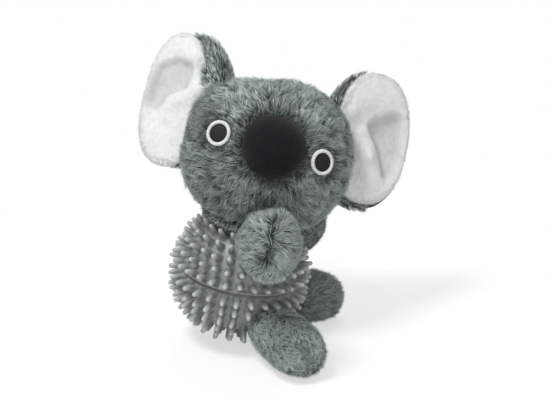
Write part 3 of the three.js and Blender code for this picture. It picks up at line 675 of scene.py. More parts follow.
def surface_samples(piece, count, rng):
    """Random places spread evenly over a piece, with their outward normals."""
    mesh = piece.data
    mesh.calc_loop_triangles()
    corners = np.zeros(len(mesh.loop_triangles) * 3, dtype=np.int64)
    mesh.loop_triangles.foreach_get("vertices", corners)
    corners = corners.reshape(-1, 3)
    points, normals = points_of(piece), values_of(piece, "normal")
    a, b, c = (points[corners[:, k]] for k in range(3))
    area = np.linalg.norm(np.cross(b - a, c - a), axis=1)
    chosen = rng.choice(len(corners), size=count, p=area / area.sum())
    u, v = rng.random(count), rng.random(count)
    outside = u + v > 1
    u[outside], v[outside] = 1 - u[outside], 1 - v[outside]
    weights = columns(1 - u - v, u, v)
    place, normal = (
        sum(weights[:, k:k + 1] * each[corners[chosen, k]] for k in range(3)) for each in (points, normals)
    )
    return place, unit(normal)


def no_painted_light(place):
    return np.ones(len(place))


def lay_pile(
    name, piece, body, slot_name, material, seed, count, length, width, lie, flow, share,
    tuft=12, gather=0.45, painted_light=no_painted_light, meets=(), waviness=USUAL_WAVINESS,
):
    """Covers a piece with strands. flow gives the way they are combed, lie how far they lean over, in degrees,
    and share how long they are at each place, where 0 leaves them out. Each tuft has about as many strands as
    tuft says. gather is how far their tips draw together, and tint the painted light and shade on them at each
    place, as a factor on their tone. Strands that would be in a neighbour's room, as each test of meets finds
    it, are cut short."""
    rng = np.random.default_rng(seed)
    place, normal = surface_samples(piece, count, rng)
    reach = share(place)
    kept = reach > SHORTEST_STRAND
    place, normal, reach = place[kept], normal[kept], reach[kept]
    total = len(place)

    def spread(half):
        return rng.normal(size=(total, 1)) * half

    combed = flow(place, normal)
    combed = unit(combed - normal * np.sum(combed * normal, axis=1, keepdims=True))
    across = np.cross(normal, combed)
    waves = columns(*[np.sin(place @ rng.normal(size=3) / WAVE_LENGTH + rng.random() * 6) for _ in range(4)])
    combed = unit(combed + across * ((waves[:, 0] + waves[:, 1])[:, None] * waviness + spread(SWAY_SPREAD)))
    lean = math.radians(lie) + waves[:, 2:3] * LEAN_WAVES + spread(LEAN_SPREAD)
    size = (length * reach * rng.uniform(*STRAND_SIZES, total))[:, None]
    first, last = (
        unit(normal * np.cos(lean * part) + combed * np.sin(lean * part)) for part in (FOOT_LEAN, TIP_LEAN)
    )
    root = place - normal * ROOT_DEPTH
    middle = root + first * size * STRAND_MIDDLE
    tip = middle + last * size * (1 - STRAND_MIDDLE)
    # each tuft's strands draw together towards the strand in its middle
    leaders = rng.permutation(total)[:max(total // tuft, 1)]
    tree = kdtree.KDTree(len(leaders))
    for i, leader in enumerate(leaders):
        tree.insert(place[leader], i)
    tree.balance()
    nearest = leaders[[tree.find(spot)[1] for spot in place]]
    draw = gather * rng.uniform(0.5, 1, (total, 1))
    middle += (middle[nearest] - middle) * draw * 0.4
    tip += (tip[nearest] - tip) * draw
    tip += across * (spread(CURL_SPREAD)[nearest] * waviness / USUAL_WAVINESS) * size
    for test in meets:
        kept_length = np.where(test(middle) | test(tip), CUT_SHORT, 1)[:, None]
        middle = root + (middle - root) * kept_length
        tip = root + (tip - root) * kept_length
    along = unit(tip - root)
    side = unit(np.cross(along, rng.normal(size=(total, 3))))
    third = np.cross(along, side)
    thick = (width * np.sqrt(reach))[:, None]
    line = {0: root, 1: middle, 2: tip}
    parts = [line[round(pz * 2)] + (side * px + third * py) * thick for px, py, pz in strand_points]
    points = np.stack(parts, axis=1).reshape(-1, 3)
    points[:, 2] = np.maximum(points[:, 2], PILE_ON_FLOOR)
    stride = len(strand_points)
    starts = np.arange(total) * stride
    loops = np.concatenate([(starts[:, None] + np.array(face)).ravel() for face in strand_faces])
    sizes = np.concatenate([np.full(total, len(face)) for face in strand_faces])
    mesh = bpy.data.meshes.new(name)
    mesh.vertices.add(len(points))
    mesh.vertices.foreach_set("co", points.astype(np.float32).ravel())
    mesh.loops.add(len(loops))
    mesh.loops.foreach_set("vertex_index", loops.astype(np.int32))
    mesh.polygons.add(len(sizes))
    mesh.polygons.foreach_set("loop_start", np.concatenate([[0], np.cumsum(sizes)[:-1]]).astype(np.int32))
    mesh.update(calc_edges=True)
    rounded = [np.full(total, strand_points[face, 2].any()) for face in strand_faces]
    mesh.polygons.foreach_set("use_smooth", np.concatenate(rounded))
    # a random tone for each strand, tuft and wave, scaled by the painted light and shade given for each place
    shade = MEAN_TONE + rng.normal(0, STRAND_TONES, total) + rng.normal(0, TUFT_TONES, total)[nearest]
    shade = np.clip(shade + waves[:, 3] * WAVE_TONES, 0, 1) * painted_light(place)
    give_values(mesh, "tip", np.tile(strand_points[:, 2], total))
    give_values(mesh, "tone_and_painted_light", np.repeat(shade, stride))
    pile = bpy.data.objects.new(name, mesh)
    bpy.context.scene.collection.objects.link(pile)
    finish_piece(pile, body, slot_name, material)


# Ball

def leg_reaches(side, point, room):
    place = leg_places[side].inverted() @ point
    axis = (leg_places[side].to_3x3().inverted() @ UP).normalized()
    end = LEG_LENGTHS[side] - LEG_DIAMETER / 2
    root = LEG_DIAMETER / 2 * LEG_ROOT_SHARE
    for swing in (-LEG_SWING, 0, LEG_SWING):
        turned_place = Matrix.Rotation(swing, 3, axis) @ place
        along = min(max(turned_place.z, 0), end)
        reach = root + (LEG_DIAMETER / 2 - root) * min(along / (end / 2), 1) + room - SPIKE_IN_PILE
        if math.hypot(turned_place.x, turned_place.y, turned_place.z - along) < reach:
            return True
    return False


def spike_fits(way, share):
    if way.z > math.cos(PAD_SPREAD + NECK_TILT + math.asin(SPIKE_BASE / 2 / BALL_RADIUS)):
        return False
    top = BALL_RADIUS + SPIKE_LENGTH * share
    steps = ((BALL_RADIUS, SPIKE_BASE), ((BALL_RADIUS + top) / 2, SPIKE_BASE), (top, SPIKE_TIP))
    return not any(
        leg_reaches(side, ball_place @ (way * reach), width / 2 + SEAT_GAP)
        for side in SIDES for reach, width in steps
    )


def spike_share(way):
    """How much of its full length a spike has room for beside the legs."""
    return next((share for share in SPIKE_SHARES if spike_fits(way, share)), 0)


def model_spike():
    """One soft spike, standing on the shell, with a flared foot and a round tip."""
    height, radius = SPIKE_FOOT[0], SPIKE_BASE * SPIKE_FOOT[1]
    spike = made(bpy.ops.mesh.primitive_circle_add, vertices=8, radius=radius, location=(0, 0, height))
    with editing(spike):
        for rise, share in SPIKE_OUTLINE:
            bpy.ops.mesh.extrude_edges_move(TRANSFORM_OT_translate={"value": (0, 0, rise - height)})
            scale = SPIKE_BASE * share / radius
            bpy.ops.transform.resize(value=(scale, scale, 1))
            height, radius = rise, SPIKE_BASE * share
        bpy.ops.mesh.merge(type="CENTER")
        bpy.ops.mesh.select_all(action="SELECT")
        bpy.ops.mesh.fill_holes(sides=0)
        bpy.ops.mesh.normals_make_consistent(inside=False)
    return taken_shape(spike)


def cut_hole(shell, turn, radius):
    drill = made(
        bpy.ops.mesh.primitive_cylinder_add, vertices=32, radius=radius, depth=BALL_REACH,
        location=(0, 0, BALL_REACH / 2),
    )
    drill.data.transform(turn)
    cut = shell.modifiers.new("hole", "BOOLEAN")
    cut.operation = "DIFFERENCE"
    cut.object = drill
    apply_all(shell)
    bpy.data.objects.remove(drill)
    with editing(shell):
        bpy.ops.mesh.remove_doubles(threshold=1e-6)


def add_spikes(shell, side):
    spike_shape, spike_sides = model_spike()
    height = np.clip(spike_shape[:, 2:3] / SPIKE_LENGTH, 0, 1)
    base = len(shell.data.vertices)
    points = [points_of(shell)]
    tips = [np.zeros(base)]
    faces = faces_of(shell)
    rng = np.random.default_rng(11 + side)
    rise = FIRST_ROW
    while rise < BALL_RADIUS * math.pi / 2 - SPIKE_BASE / 2:
        latitude = rise / BALL_RADIUS
        count = max(round(SPIKES_ROUND * math.cos(latitude)), 3)
        for i in range(count):
            azimuth = i / count * 2 * math.pi
            way = Vector((
                math.cos(latitude) * math.sin(azimuth), -math.cos(latitude) * math.cos(azimuth),
                side * math.sin(latitude),
            ))
            length = spike_share(way)
            if not length:
                continue
            lean = np.array(Vector(rng.normal(size=3) * SPIKE_LEAN))
            copy = moved(spike_shape * [1, 1, length], basis_along(way, UP))
            points.append(copy + np.array(way) * BALL_RADIUS + lean * SPIKE_LENGTH * height ** 2)
            tips.append(height[:, 0])
            faces += [[v + base for v in face] for face in spike_sides]
            base += len(spike_shape)
        rise += ROW_PITCH
    mesh = bpy.data.meshes.new(shell.name)
    mesh.from_pydata(np.concatenate(points).tolist(), [], faces)
    mesh.validate()
    mesh.update()
    # painted shadow of the lip on the lower half's edge, for the rubber's material
    seam = np.zeros(base)
    if side < 0:
        seam[:len(points[0])] = np.interp(-points[0][:, 2], LIP_HEIGHTS, SEAM_SHADE)
    give_values(mesh, "tip", np.concatenate(tips))
    give_values(mesh, "seam", seam)
    shell.data = mesh


def half_ball(name, side):
    """One half of the ball with its wall, its lip at the parting line and its spikes."""
    shell = round_form(name, 96, 64)
    set_points(shell, points_of(shell) * BALL_RADIUS)
    with editing(shell):
        bpy.ops.mesh.bisect(plane_co=(0, 0, side * SEAT_GAP / 2), plane_no=(0, 0, side), clear_inner=True)
        for height in LIP_HEIGHTS[1:]:
            bpy.ops.mesh.select_all(action="SELECT")
            bpy.ops.mesh.bisect(plane_co=(0, 0, side * height), plane_no=(0, 0, side))
    solid = shell.modifiers.new("wall", "SOLIDIFY")
    solid.thickness = BALL_WALL
    solid.offset = -1
    apply_all(shell)
    points = points_of(shell)
    bulge = np.interp(np.abs(points[:, 2]), LIP_HEIGHTS, LIP_DEPTHS[side])
    inner = np.linalg.norm(points, axis=1) < BALL_RADIUS - BALL_WALL / 8
    bulge[inner] = 0
    points[:, :2] *= (1 + bulge / BALL_RADIUS)[:, None]
    set_points(shell, points)
    if side > 0:
        cut_hole(shell, Matrix.Identity(4), NECK_HOLE_RADIUS)
    else:
        for leg in leg_places.values():
            hip = (ball_place.inverted() @ leg).translation
            cut_hole(shell, basis_along(hip, UP), LEG_HOLE_RADIUS)
    add_spikes(shell, side)
    points = moved(points_of(shell), ball_place)
    points[:, 2] = np.maximum(points[:, 2], BALL_ON_FLOOR)
    set_points(shell, points)
    only(shell)
    bpy.ops.object.shade_smooth_by_angle(angle=SPIKE_CREASE)
    finish_piece(shell, "ball", "rubber", grey_rubber, f"{name}_half")


half_ball("ball_upper", 1)
half_ball("ball_lower", -1)


# Head

def head_halves(points):
    """The head's half sizes, on the side where each point of its own frame is."""
    return columns(HEAD_WIDTH / 2, np.where(points[:, 1] < 0, FACE_DEPTH, NAPE_DEPTH), HEAD_HEIGHT / 2)


def head_depth(points):
    """How far inside the head's outer form points of its own frame lie, below 0 where they are outside."""
    share = np.sum(np.abs(points / head_halves(points)) ** HEAD_FULLNESS, axis=1) ** (1 / HEAD_FULLNESS)
    return (1 - share) * np.linalg.norm(points, axis=1) / np.maximum(share, 1e-6)


def deep_in_head(points, depth):
    return head_depth(seen_from(points, head_place)) > depth


def out_of_head(points, depth):
    """Moves what lies deep in the head out towards its cloth."""
    inside = seen_from(points, head_place)
    deep = head_depth(inside) - depth
    inside += unit(inside) * np.maximum(deep, 0)[:, None]
    return moved(inside, head_place)


def shoulder_rise(points):
    """The lowest place of the head over each point of the neck's frame."""
    outs = [share * HEAD_WIDTH / 2 for share, _ in SHOULDER_LINE]
    rises = [HEAD_RISE - share * HEAD_HEIGHT / 2 for _, share in SHOULDER_LINE]
    return np.interp(off_axis(points), [0] + outs, [rises[0]] + rises)


def seat_on_ball(points, room):
    """Keeps points of the neck's frame off the yoke and above the shoulder line."""
    points = pushed_out(points, HEAD_SEAT + room)
    points[:, 2] = np.maximum(points[:, 2], shoulder_rise(points) + room)
    return points


def on_face(aside, rise):
    """The place on the face at a distance aside of the head's middle and above it, looking outwards."""
    half = Vector((HEAD_WIDTH / 2, FACE_DEPTH, HEAD_HEIGHT / 2))
    x, z = aside / half.x, rise / half.z
    y = -((1 - abs(x) ** HEAD_FULLNESS - abs(z) ** HEAD_FULLNESS) ** (1 / HEAD_FULLNESS))
    look = Vector([power(part, HEAD_FULLNESS - 1) / size for part, size in zip((x, y, z), half)]).normalized()
    return head_place @ Matrix.Translation((aside, y * half.y, rise)) @ basis_along(look, UP)


nose_place = on_face(*NOSE_PLACE)
eye_places = {name: on_face(*spot) for name, spot in EYE_PLACES.items()}


def at_face_stitches(points):
    """Where the nose and the eyes are sewn to the head."""
    spot = moved(points, head_place)
    near_nose = np.linalg.norm(seen_from(spot, nose_place)[:, :2], axis=1) < NOSE_WIDTH / 2
    found = near_nose & (points[:, 1] < 0)
    for eye in eye_places.values():
        found |= np.linalg.norm(spot - np.array(eye.translation), axis=1) < EYE_RADIUS
    return found


def eye_pads(points):
    """Lifts the cloth under each eye, where the pile is cut short, up to its stitches."""
    spot = moved(points, head_place)
    for eye in eye_places.values():
        local = seen_from(spot, eye)
        under = np.clip((EYE_RADIUS + 0.0016 - off_axis(local)) / 0.0020, 0, 1)
        local[:, 2] += (-0.0005 - local[:, 2]) * under * (np.abs(local[:, 2]) < EYE_REACH)
        spot = moved(local, eye)
    return seen_from(spot, head_place)


to_neck = ball_place.inverted() @ head_place
head = round_form("head", 96, 72)
way = unit(points_of(head))
reach = np.sum(np.abs(way) ** HEAD_FULLNESS, axis=1) ** (-1 / HEAD_FULLNESS)
points = way * reach[:, None] * (head_halves(way) - PILE - HEAD_SWELL)
# the upper half is squarer than the rest, away from the face
slant = np.arctan2(np.abs(points[:, 2]) / HEAD_HEIGHT, np.abs(points[:, 0]) / HEAD_WIDTH)
round_reach, square_reach = (
    superellipse(np.cos(slant), np.sin(slant), fullness) for fullness in (HEAD_FULLNESS, CROWN_FULLNESS)
)
upper = share_from(points[:, 2], -0.004, 0.012) * np.clip(1 - (points[:, 1] / 0.026) ** 2, 0, 1)
points[:, [0, 2]] *= (1 + (round_reach / square_reach - 1) * upper)[:, None]
# the stuffing fills the crown more on its left side, where the head looks flat on top
crown = sum(rise * np.exp(-((points[:, 0] - middle) / half) ** 2) for rise, middle, half in CROWN_SWELLS)
points[:, 2] += crown * eased((points[:, 2] - 0.008) / 0.024)
set_points(head, points)
plump(head, HEAD_CELL, HEAD_SWELL, at_face_stitches)
points = points_of(head)
points += unit(points) * lumps(points, **HEAD_LUMPS)[:, None] * HEAD_LUMP_HEIGHT
points = seen_from(seat_on_ball(moved(eye_pads(points), to_neck), HEAD_ROOM), to_neck)
set_points(head, moved(points, head_place))
finish_padded(head, "head", "plush", grey_cloth, 0.9, "head_skin", "head_stuffing")


def nose_outline(angle):
    across, rise = power(np.cos(angle), 0.97), power(np.sin(angle), 0.97)
    narrowing = 1.02 + 0.06 * np.sin(angle)
    return NOSE_WIDTH / 2 * across * narrowing, 0.975 * NOSE_HEIGHT / 2 * rise


def nose_seat(flat):
    """How high the nose's edge stands on the cloth of the face, at each place of the nose's own frame."""
    spot = seen_from(moved(columns(flat[:, 0], flat[:, 1], 0), nose_place), head_place)
    across = np.abs(spot[:, 0]) / (HEAD_WIDTH / 2 - PILE)
    rise = np.abs(spot[:, 2]) / (HEAD_HEIGHT / 2 - PILE)
    left = 1 - across ** HEAD_FULLNESS - rise ** HEAD_FULLNESS
    spot[:, 1] = (PILE - FACE_DEPTH) * left ** (1 / HEAD_FULLNESS)
    return seen_from(moved(spot, head_place), nose_place)[:, 2] + NOSE_RIM


nose = pad_form(
    "nose", 64, 40, nose_outline,
    lambda share, flat: nose_seat(flat) + (NOSE_STANDOUT + PILE - NOSE_RIM) * dome(share, NOSE_FULLNESS),
    lambda share, flat: nose_seat(flat) - NOSE_BACK_DEPTH * dome(share, NOSE_FULLNESS),
)
set_points(nose, moved(points_of(nose), nose_place))
finish_padded(nose, "head", "velour", velour, 0.95, "nose_cover", "nose_stuffing")


def add_eye(side):
    middle = EYE_RADIUS - EYE_RING_WIDTH / 2
    ring = made(
        bpy.ops.mesh.primitive_torus_add, major_segments=288, minor_segments=10, major_radius=middle,
        minor_radius=EYE_RING_WIDTH / 2,
    )
    ring.name = ring.data.name = f"{side}_eye_ring_stitches"
    points = points_of(ring)
    # each thread of the satin stitch stands up across the ring
    turn = np.arctan2(points[:, 1], points[:, 0])
    across = off_axis(points) - middle
    thread = np.abs(np.sin(turn * EYE_THREADS + across * THREAD_SLANT))
    uneven = lumps(columns(np.cos(turn), np.sin(turn), 0), 0.035, 2)
    points[:, 2] *= 1.1 + 0.35 * thread
    rough = THREAD_SIZES[0] * thread + THREAD_SIZES[1] * uneven
    points[:, :2] *= (1 + across / (EYE_RING_WIDTH / 2) * rough / EYE_RADIUS)[:, None]
    set_points(ring, moved(points, eye_places[side]))
    smooth(ring)
    finish_piece(ring, "head", "white_thread", white_thread, f"{side}_eye_ring")
    pupil = round_form(f"{side}_eye_disc", 48, 16)
    half = [EYE_RADIUS - EYE_RING_WIDTH * 0.95, EYE_RADIUS - EYE_RING_WIDTH * 1.05, EYE_DISC_RISE]
    set_points(pupil, moved(points_of(pupil) * half, eye_places[side]))
    smooth(pupil)
    finish_piece(pupil, "head", "black_thread", black_thread, f"{side}_eye_pupil")


for name in SIDES:
    add_eye(name)


# Ears

# Swellings of the white fronts: place, half widths and height
EAR_DENTS = {
    "right": [
        ((-0.038, 0.000), (0.005, 0.011), -0.0016), ((-0.021, 0.025), (0.009, 0.007), 0.0014),
        ((-0.030, -0.024), (0.010, 0.006), 0.0008),
    ],
    "left": [
        ((0.021, 0.021), (0.011, 0.009), 0.0016), ((0.012, 0.014), (0.005, 0.006), 0.0014),
        ((0.016, -0.006), (0.004, 0.010), -0.0014),
    ],
}
# Folds of the white fronts: the ends of a line, half width and height
EAR_FOLDS = {
    "right": [
        ((-0.015, 0.006), (-0.027, -0.002), 0.0045, 0.0018),
        ((-0.027, -0.002), (-0.033, -0.022), 0.0045, 0.0012),
    ],
    "left": [
        ((0.019, 0.003), (0.024, -0.008), 0.0034, 0.0018), ((0.024, -0.008), (0.028, -0.022), 0.0038, 0.0020),
    ],
}
# The hollow of each front: its edge towards the head at each height, its upper edge at each place across, its
# lower end and its depth
EAR_POCKETS = {
    "right": (
        ([-0.012, 0.000, 0.006, 0.018], [0.036, 0.030, 0.021, 0.019]),
        ([0.018, 0.030, 0.044], [0.020, 0.021, 0.014]), -0.010, 0.0030,
    ),
    "left": (
        ([-0.0185, -0.010, -0.0017, 0.0052, 0.0087], [0.0327, 0.0299, 0.0266, 0.022, 0.0201]),
        ([0.020, 0.0253, 0.0325, 0.0388, 0.0442], [0.0087, 0.0132, 0.0168, 0.0158, 0.0135]), -0.022, 0.0036,
    ),
}
# How softly the hollow goes over into its inner edge, its upper edge, its lower end and the ear's rim
POCKET_SLOPES = (0.0052, 0.0055, 0.007, 0.22)
# Random swellings of the white fronts: their scale, seed and height
FLUFF_SWELLS = ((0.0075, 3, 0.0008), (0.0028, 5, 0.00022), (0.0011, 9, 0.00008))


def white_inset(name, height):
    """How far out from the ear's root its white front begins."""
    return np.interp(height, *WHITE_INSETS[name])


def ear_outline(name, white):
    """The edge of an ear's plush back or, further from the root, of its white front."""
    foot = EAR_FEET[name] if white else EAR_HEIGHT / 2

    def outline(angle):
        across, rise = power(np.cos(angle), 2 / EAR_FULLNESS), power(np.sin(angle), 2 / EAR_FULLNESS)
        y = np.where(rise < 0, foot, EAR_HEIGHT / 2) * rise
        near = white_inset(name, y) if white else 0
        return SIDES[name] * ((near + EAR_WIDTH) / 2 + (EAR_WIDTH - near) / 2 * across), y
    return outline


def ear_share(name, flat):
    """How far points are on the way from the middle of an ear to its edge."""
    half = SIDES[name] * EAR_WIDTH / 2
    return superellipse((flat[:, 0] - half) / half, flat[:, 1] / (EAR_HEIGHT / 2), EAR_FULLNESS)


def ear_face(share):
    return EAR_RIM / 2 - EAR_HOLLOW * (1 - np.minimum(share, 1) ** 2)


def front_seat(name, flat):
    """The hollow face on which the white front lies."""
    return ear_face(ear_share(name, flat)) + SEAT_GAP


def pocket(name, flat):
    inner_edge, upper_edge, bottom, depth = EAR_POCKETS[name]
    inner_slope, upper_slope, lower_slope, rim_slope = POCKET_SLOPES
    out = np.abs(flat[:, 0])
    inside = eased((out - np.interp(flat[:, 1], *inner_edge)) / inner_slope + 0.3)
    below = eased((np.interp(out, *upper_edge) - flat[:, 1]) / upper_slope + 0.3)
    above = eased((flat[:, 1] - bottom) / lower_slope)
    return -depth * inside * below * above * eased((0.97 - ear_share(name, flat)) / rim_slope)


def fluff_relief(name, flat):
    """How far the white fluff stands above or below its plain cushion."""
    height = pocket(name, flat)
    for (x, y), (half_x, half_y), rise in EAR_DENTS[name]:
        height += rise * np.exp(-((flat[:, 0] - x) / half_x) ** 2 - ((flat[:, 1] - y) / half_y) ** 2)
    for start, end, half, rise in EAR_FOLDS[name]:
        height += rise * np.exp(-(off_seam(flat[:, :2], [(start, end)]) / half) ** 2)
    return height


def sunk(name, flat):
    """How far the ear's plush back gives way under the hollows of its front."""
    return np.minimum(fluff_relief(name, flat), 0)


def rolled_rim(name, flat):
    """How far the grey plush rolls forward round the inner top edge of the ear."""
    strip = 1 - share_from(SIDES[name] * flat[:, 0] - white_inset(name, flat[:, 1]), 0, 0.004)
    return ROLLED_RIMS[name] * strip * share_from(flat[:, 1], -0.004, 0.012)


def add_ear(name):
    place = ear_places[name]
    back = pad_form(
        f"{name}_ear_grey", 96, 64, ear_outline(name, False),
        lambda share, flat: ear_face(share) + rolled_rim(name, flat) * dome(share, 3) + sunk(name, flat),
        lambda share, flat: ear_face(share) - EAR_RIM - (EAR_BACK_DEPTH - PILE) * dome(share, EAR_FULLNESS),
    )
    points = points_of(back)
    points[:, 1] *= np.where(points[:, 1] > 0, EAR_BACK_TOP, EAR_BACK_FEET[name])
    set_points(back, out_of_head(moved(points, place), EAR_IN_HEAD))
    finish_padded(back, f"{name}_ear", "plush", grey_cloth, 0.7, f"{name}_ear_back")
    front = pad_form(
        f"{name}_ear_white", 192, 144, ear_outline(name, True),
        lambda share, flat: front_seat(name, flat) + (EAR_FRONT_DEPTH - 0.0010) * dome(share, 2.5),
        lambda share, flat: front_seat(name, flat),
    )
    points = points_of(front)
    puffed = np.clip((points[:, 2] - front_seat(name, points)) / EAR_FRONT_DEPTH * 1.3, 0, 1)
    swell = sum(lumps(points, scale, seed + SIDES[name]) * rise for scale, seed, rise in FLUFF_SWELLS)
    relief = fluff_relief(name, points)
    points[:, 2] += np.minimum(relief, 0) + (swell + np.maximum(relief, 0)) * puffed
    points[:, 1] *= np.where(points[:, 1] > 0, EAR_WHITE_TOPS[name], 1)
    # painted shade in the front's hollows, read by the cloth's material
    give_values(front.data, "hollow", np.clip(-relief / 0.0030, 0, 1))
    set_points(front, out_of_head(moved(points, place), EAR_IN_HEAD))
    finish_padded(front, f"{name}_ear", "fleece", white_cloth, 0.6, f"{name}_ear_front")
    return back, front


ears = {name: add_ear(name) for name in SIDES}


# Limbs

neck_axis = (ball_place.to_3x3() @ UP).normalized()
arm_end = ARM_SIZE[2] - 0.001
ARM_SEAM = [
    ((-0.0065, 0.0118, arm_end), (-0.0015, 0.0095, arm_end)),
    ((0.0025, 0.016, arm_end - 0.004), (-0.0015, 0.0095, arm_end)),
    ((-0.0015, 0.0095, arm_end), (0.0004, 0.002, arm_end)),
    ((0.0004, 0.002, arm_end), (-0.0010, -0.0035, arm_end)),
]
LEG_SEAMS = {
    "right": [
        ((-0.0055, 0.0122, 0.012), (-0.0070, 0.0110, 0.029)),
        ((-0.0070, 0.0110, 0.029), (-0.0046, 0.0022, 0.0428)),
    ],
    "left": [((0.0, 0.013, 0.016), (0.0, 0.010, 0.033)), ((0.0, 0.010, 0.033), (0.0, 0.002, 0.0365))],
}


def keep_clear(points, place, swing, axis, tests):
    """Moves points of the toy out of their neighbours' room at each angle of the limb's swing."""
    pivot = np.array(place.translation)
    for angle in (-swing, 0, swing):
        turn = np.array(Matrix.Rotation(angle, 3, axis))
        swung = (points - pivot) @ turn.T + pivot
        for test in tests:
            swung = test(swung)
        points = (swung - pivot) @ turn + pivot
    return points


def off_ball(radius):
    centre = np.array(ball_centre)
    return lambda points: centre + pushed_out(points - centre, radius)


def below_head(points):
    local = seen_from(points, ball_place)
    local[:, 2] = np.minimum(local[:, 2], shoulder_rise(local) - UNDER_HEAD_ROOM)
    return moved(local, ball_place)


def above_floor(points):
    return columns(points[:, 0], points[:, 1], np.maximum(points[:, 2], CLOTH_ON_FLOOR))


def add_limb(name, outline, sizes, seam, crease, shaped, place, swing, axis, tests):
    """A stuffed limb, made along Z from its root at the origin, drawn in at its seam and put in its place."""
    piece = round_form(name, 64, 56)
    way = points_of(piece)
    share = np.arccos(np.clip(-way[:, 2], -1, 1)) / math.pi
    spread = np.linspace(0, 1, len(outline))
    out, along = (np.interp(share, spread, values) for values in np.array(outline).T)
    turn = np.arctan2(way[:, 1], way[:, 0])
    inset = PILE + LIMB_SWELL
    half_width, half_height = sizes[0] / 2 - inset, sizes[1] / 2 - inset
    rise = inset + along * (sizes[2] - 2 * inset)
    set_points(piece, columns(np.cos(turn) * out * half_width, np.sin(turn) * out * half_height, rise))
    relax(piece, 4)
    apply_all(piece)
    plump(piece, LIMB_CELL, LIMB_SWELL, lambda points: off_seam(points, seam) < STITCH_REACH)
    points = shaped(pinch(points_of(piece), (0, 0, sizes[2] / 2), seam, *crease))
    set_points(piece, keep_clear(moved(points, place), place, swing, axis, tests))
    finish_padded(piece, name, "plush", grey_cloth, 0.8, f"{name}_skin", f"{name}_stuffing")
    return piece


def bent_arm(points):
    """An arm that is fuller on top, and more so towards its sides."""
    points[:, 0] += (0.0006 + 0.0012 * (points[:, 1] / 0.017) ** 2) * share_from(points[:, 2], 0, 0.02)
    return points


arms, legs = {}, {}
for name in SIDES:
    arms[name] = add_limb(
        f"{name}_arm", ARM_OUTLINE, (ARM_SIZE[0] - ARM_SLIMMER, ARM_SIZE[1], ARM_SIZE[2]), ARM_SEAM,
        ARM_CREASE, bent_arm, arm_places[name], ARM_SWING, neck_axis,
        (off_ball(YOKE_UNDER + ARM_ROOM), below_head),
    )
    legs[name] = add_limb(
        f"{name}_leg", LEG_OUTLINE, (LEG_DIAMETER, LEG_DIAMETER, LEG_LENGTHS[name]), LEG_SEAMS[name],
        LEG_CREASE, lambda points: points * LEG_SCALES[name], leg_places[name], LEG_SWING, UP,
        (off_ball(BALL_RADIUS + LEG_ROOM), above_floor),
    )


# Yoke: the hem of plush that lies over the top of the ball

yoke = round_form("yoke", 96, 48)
way = unit(points_of(yoke))
polar = off_axis(way) * YOKE_SPREAD
spread = np.sin(polar) / np.maximum(off_axis(way), 1e-9)
thick = np.where(way[:, 2] > 0, 1, -1) * (YOKE_THICKNESS / 2 - 0.0003) * dome(off_axis(way), 4)
round_way = columns(way[:, 0] * spread, way[:, 1] * spread, np.cos(polar))
set_points(yoke, moved(round_way * (YOKE_MIDDLE + thick)[:, None], ball_place))
finish_padded(yoke, "neck", "plush", grey_cloth, 0.5, "neck_yoke")

for node in ("squeaker_case", "squeaker_reed", "neck_washer", "right_leg_washer", "left_leg_washer"):
    frame["nodes"][node].data.materials.clear()
    frame["nodes"][node].data.materials.append(clear_plastic)


# The pile on every cloth

nose_point = np.array(nose_place.translation)
down = np.array(head_place.to_3x3() @ Vector((0, 0.2, -1)))


def face_flow(place, normal):
    """Combs the head away from the nose, and down at the back."""
    behind = share_from(seen_from(place, head_place)[:, 1], 0.004, 0.02)[:, None]
    return unit(place - nose_point) * (1 - behind) + down * behind


def beside_nose(place):
    """How far from the nose's edge points lie, and whether they are at its height on the face."""
    local = seen_from(place, nose_place)
    edge = np.hypot(*nose_outline(np.arctan2(local[:, 1], local[:, 0])))
    return off_axis(local) - edge, local[:, 2] > FACE_FRONT


def in_ear(points, name):
    local = seen_from(points, ear_places[name])
    share = ear_share(name, local)
    behind_front = local[:, 2] < ear_face(share) + EAR_FRONT_DEPTH * 0.7
    return (share < 1) & behind_front & (local[:, 2] > -EAR_RIM - EAR_HOLLOW - EAR_BACK_DEPTH)


def ear_room(name):
    return through_range(f"{name}_ear_fold", lambda points: in_ear(points, name))


def head_share(place):
    gap, near = beside_nose(place)
    length = np.where(gap > -NOSE_TUCK, 0.4 + 0.6 * share_from(gap, -NOSE_TUCK, 0.003), 0)
    share = np.where(near, length, 1)
    for eye in eye_places.values():
        local = seen_from(place, eye)
        gap = off_axis(local) - EYE_RADIUS
        length = np.where(gap < 0.0001, 0, np.clip(gap / 0.0035, 0.3, 1))
        share = np.where(np.abs(local[:, 2]) < EYE_REACH, np.minimum(share, length), share)
    for name in SIDES:
        share = np.where(in_ear(place, name), 0, share)
    seat = np.linalg.norm(seen_from(place, ball_place), axis=1) - HEAD_SEAT
    return np.where(seat < PILE, 0, share)


def head_painted_shade(place):
    """Painted shade on the pile: darker round the nose, at the right temple where the ear shades it, under the
    chin and on the lower right cheek.
    """
    gap, near = beside_nose(place)
    painted_light = np.where(near, np.clip(0.45 + gap / 0.006, 0.45, 1), 1)
    spot = seen_from(place, head_place)
    temple = np.linalg.norm((spot - [-0.033, -0.018, 0.012]) / [0.010, 0.02, 0.009], axis=1)
    chin = share_from(-spot[:, 2], 0.002, 0.024)
    cheek = share_from(-spot[:, 0], 0.012, 0.02) * share_from(-spot[:, 2], -0.004, 0.012)
    return painted_light * (1 - 0.40 * np.exp(-temple ** 2)) * (1 - 0.15 * chin) * (1 - 0.08 * cheek)


for part in (1, 2):
    lay_pile(
        f"head_pile_{part}", head, "head", "plush", grey_pile, 20 + part,
        27000, 0.0066, 0.00013, 62, face_flow, head_share,
        16, 0.56, head_painted_shade, (ear_room("right"), ear_room("left")), waviness=0.29,
    )


def arm_flow(side):
    """Combs an arm away from its seam and back to its root."""
    def flow(place, normal):
        local = seen_from(place, arm_places[side])
        out = unit(local - to_seam(local, ARM_SEAM))
        out[:, 2] -= 0.35
        return turned(out, arm_places[side])
    return flow


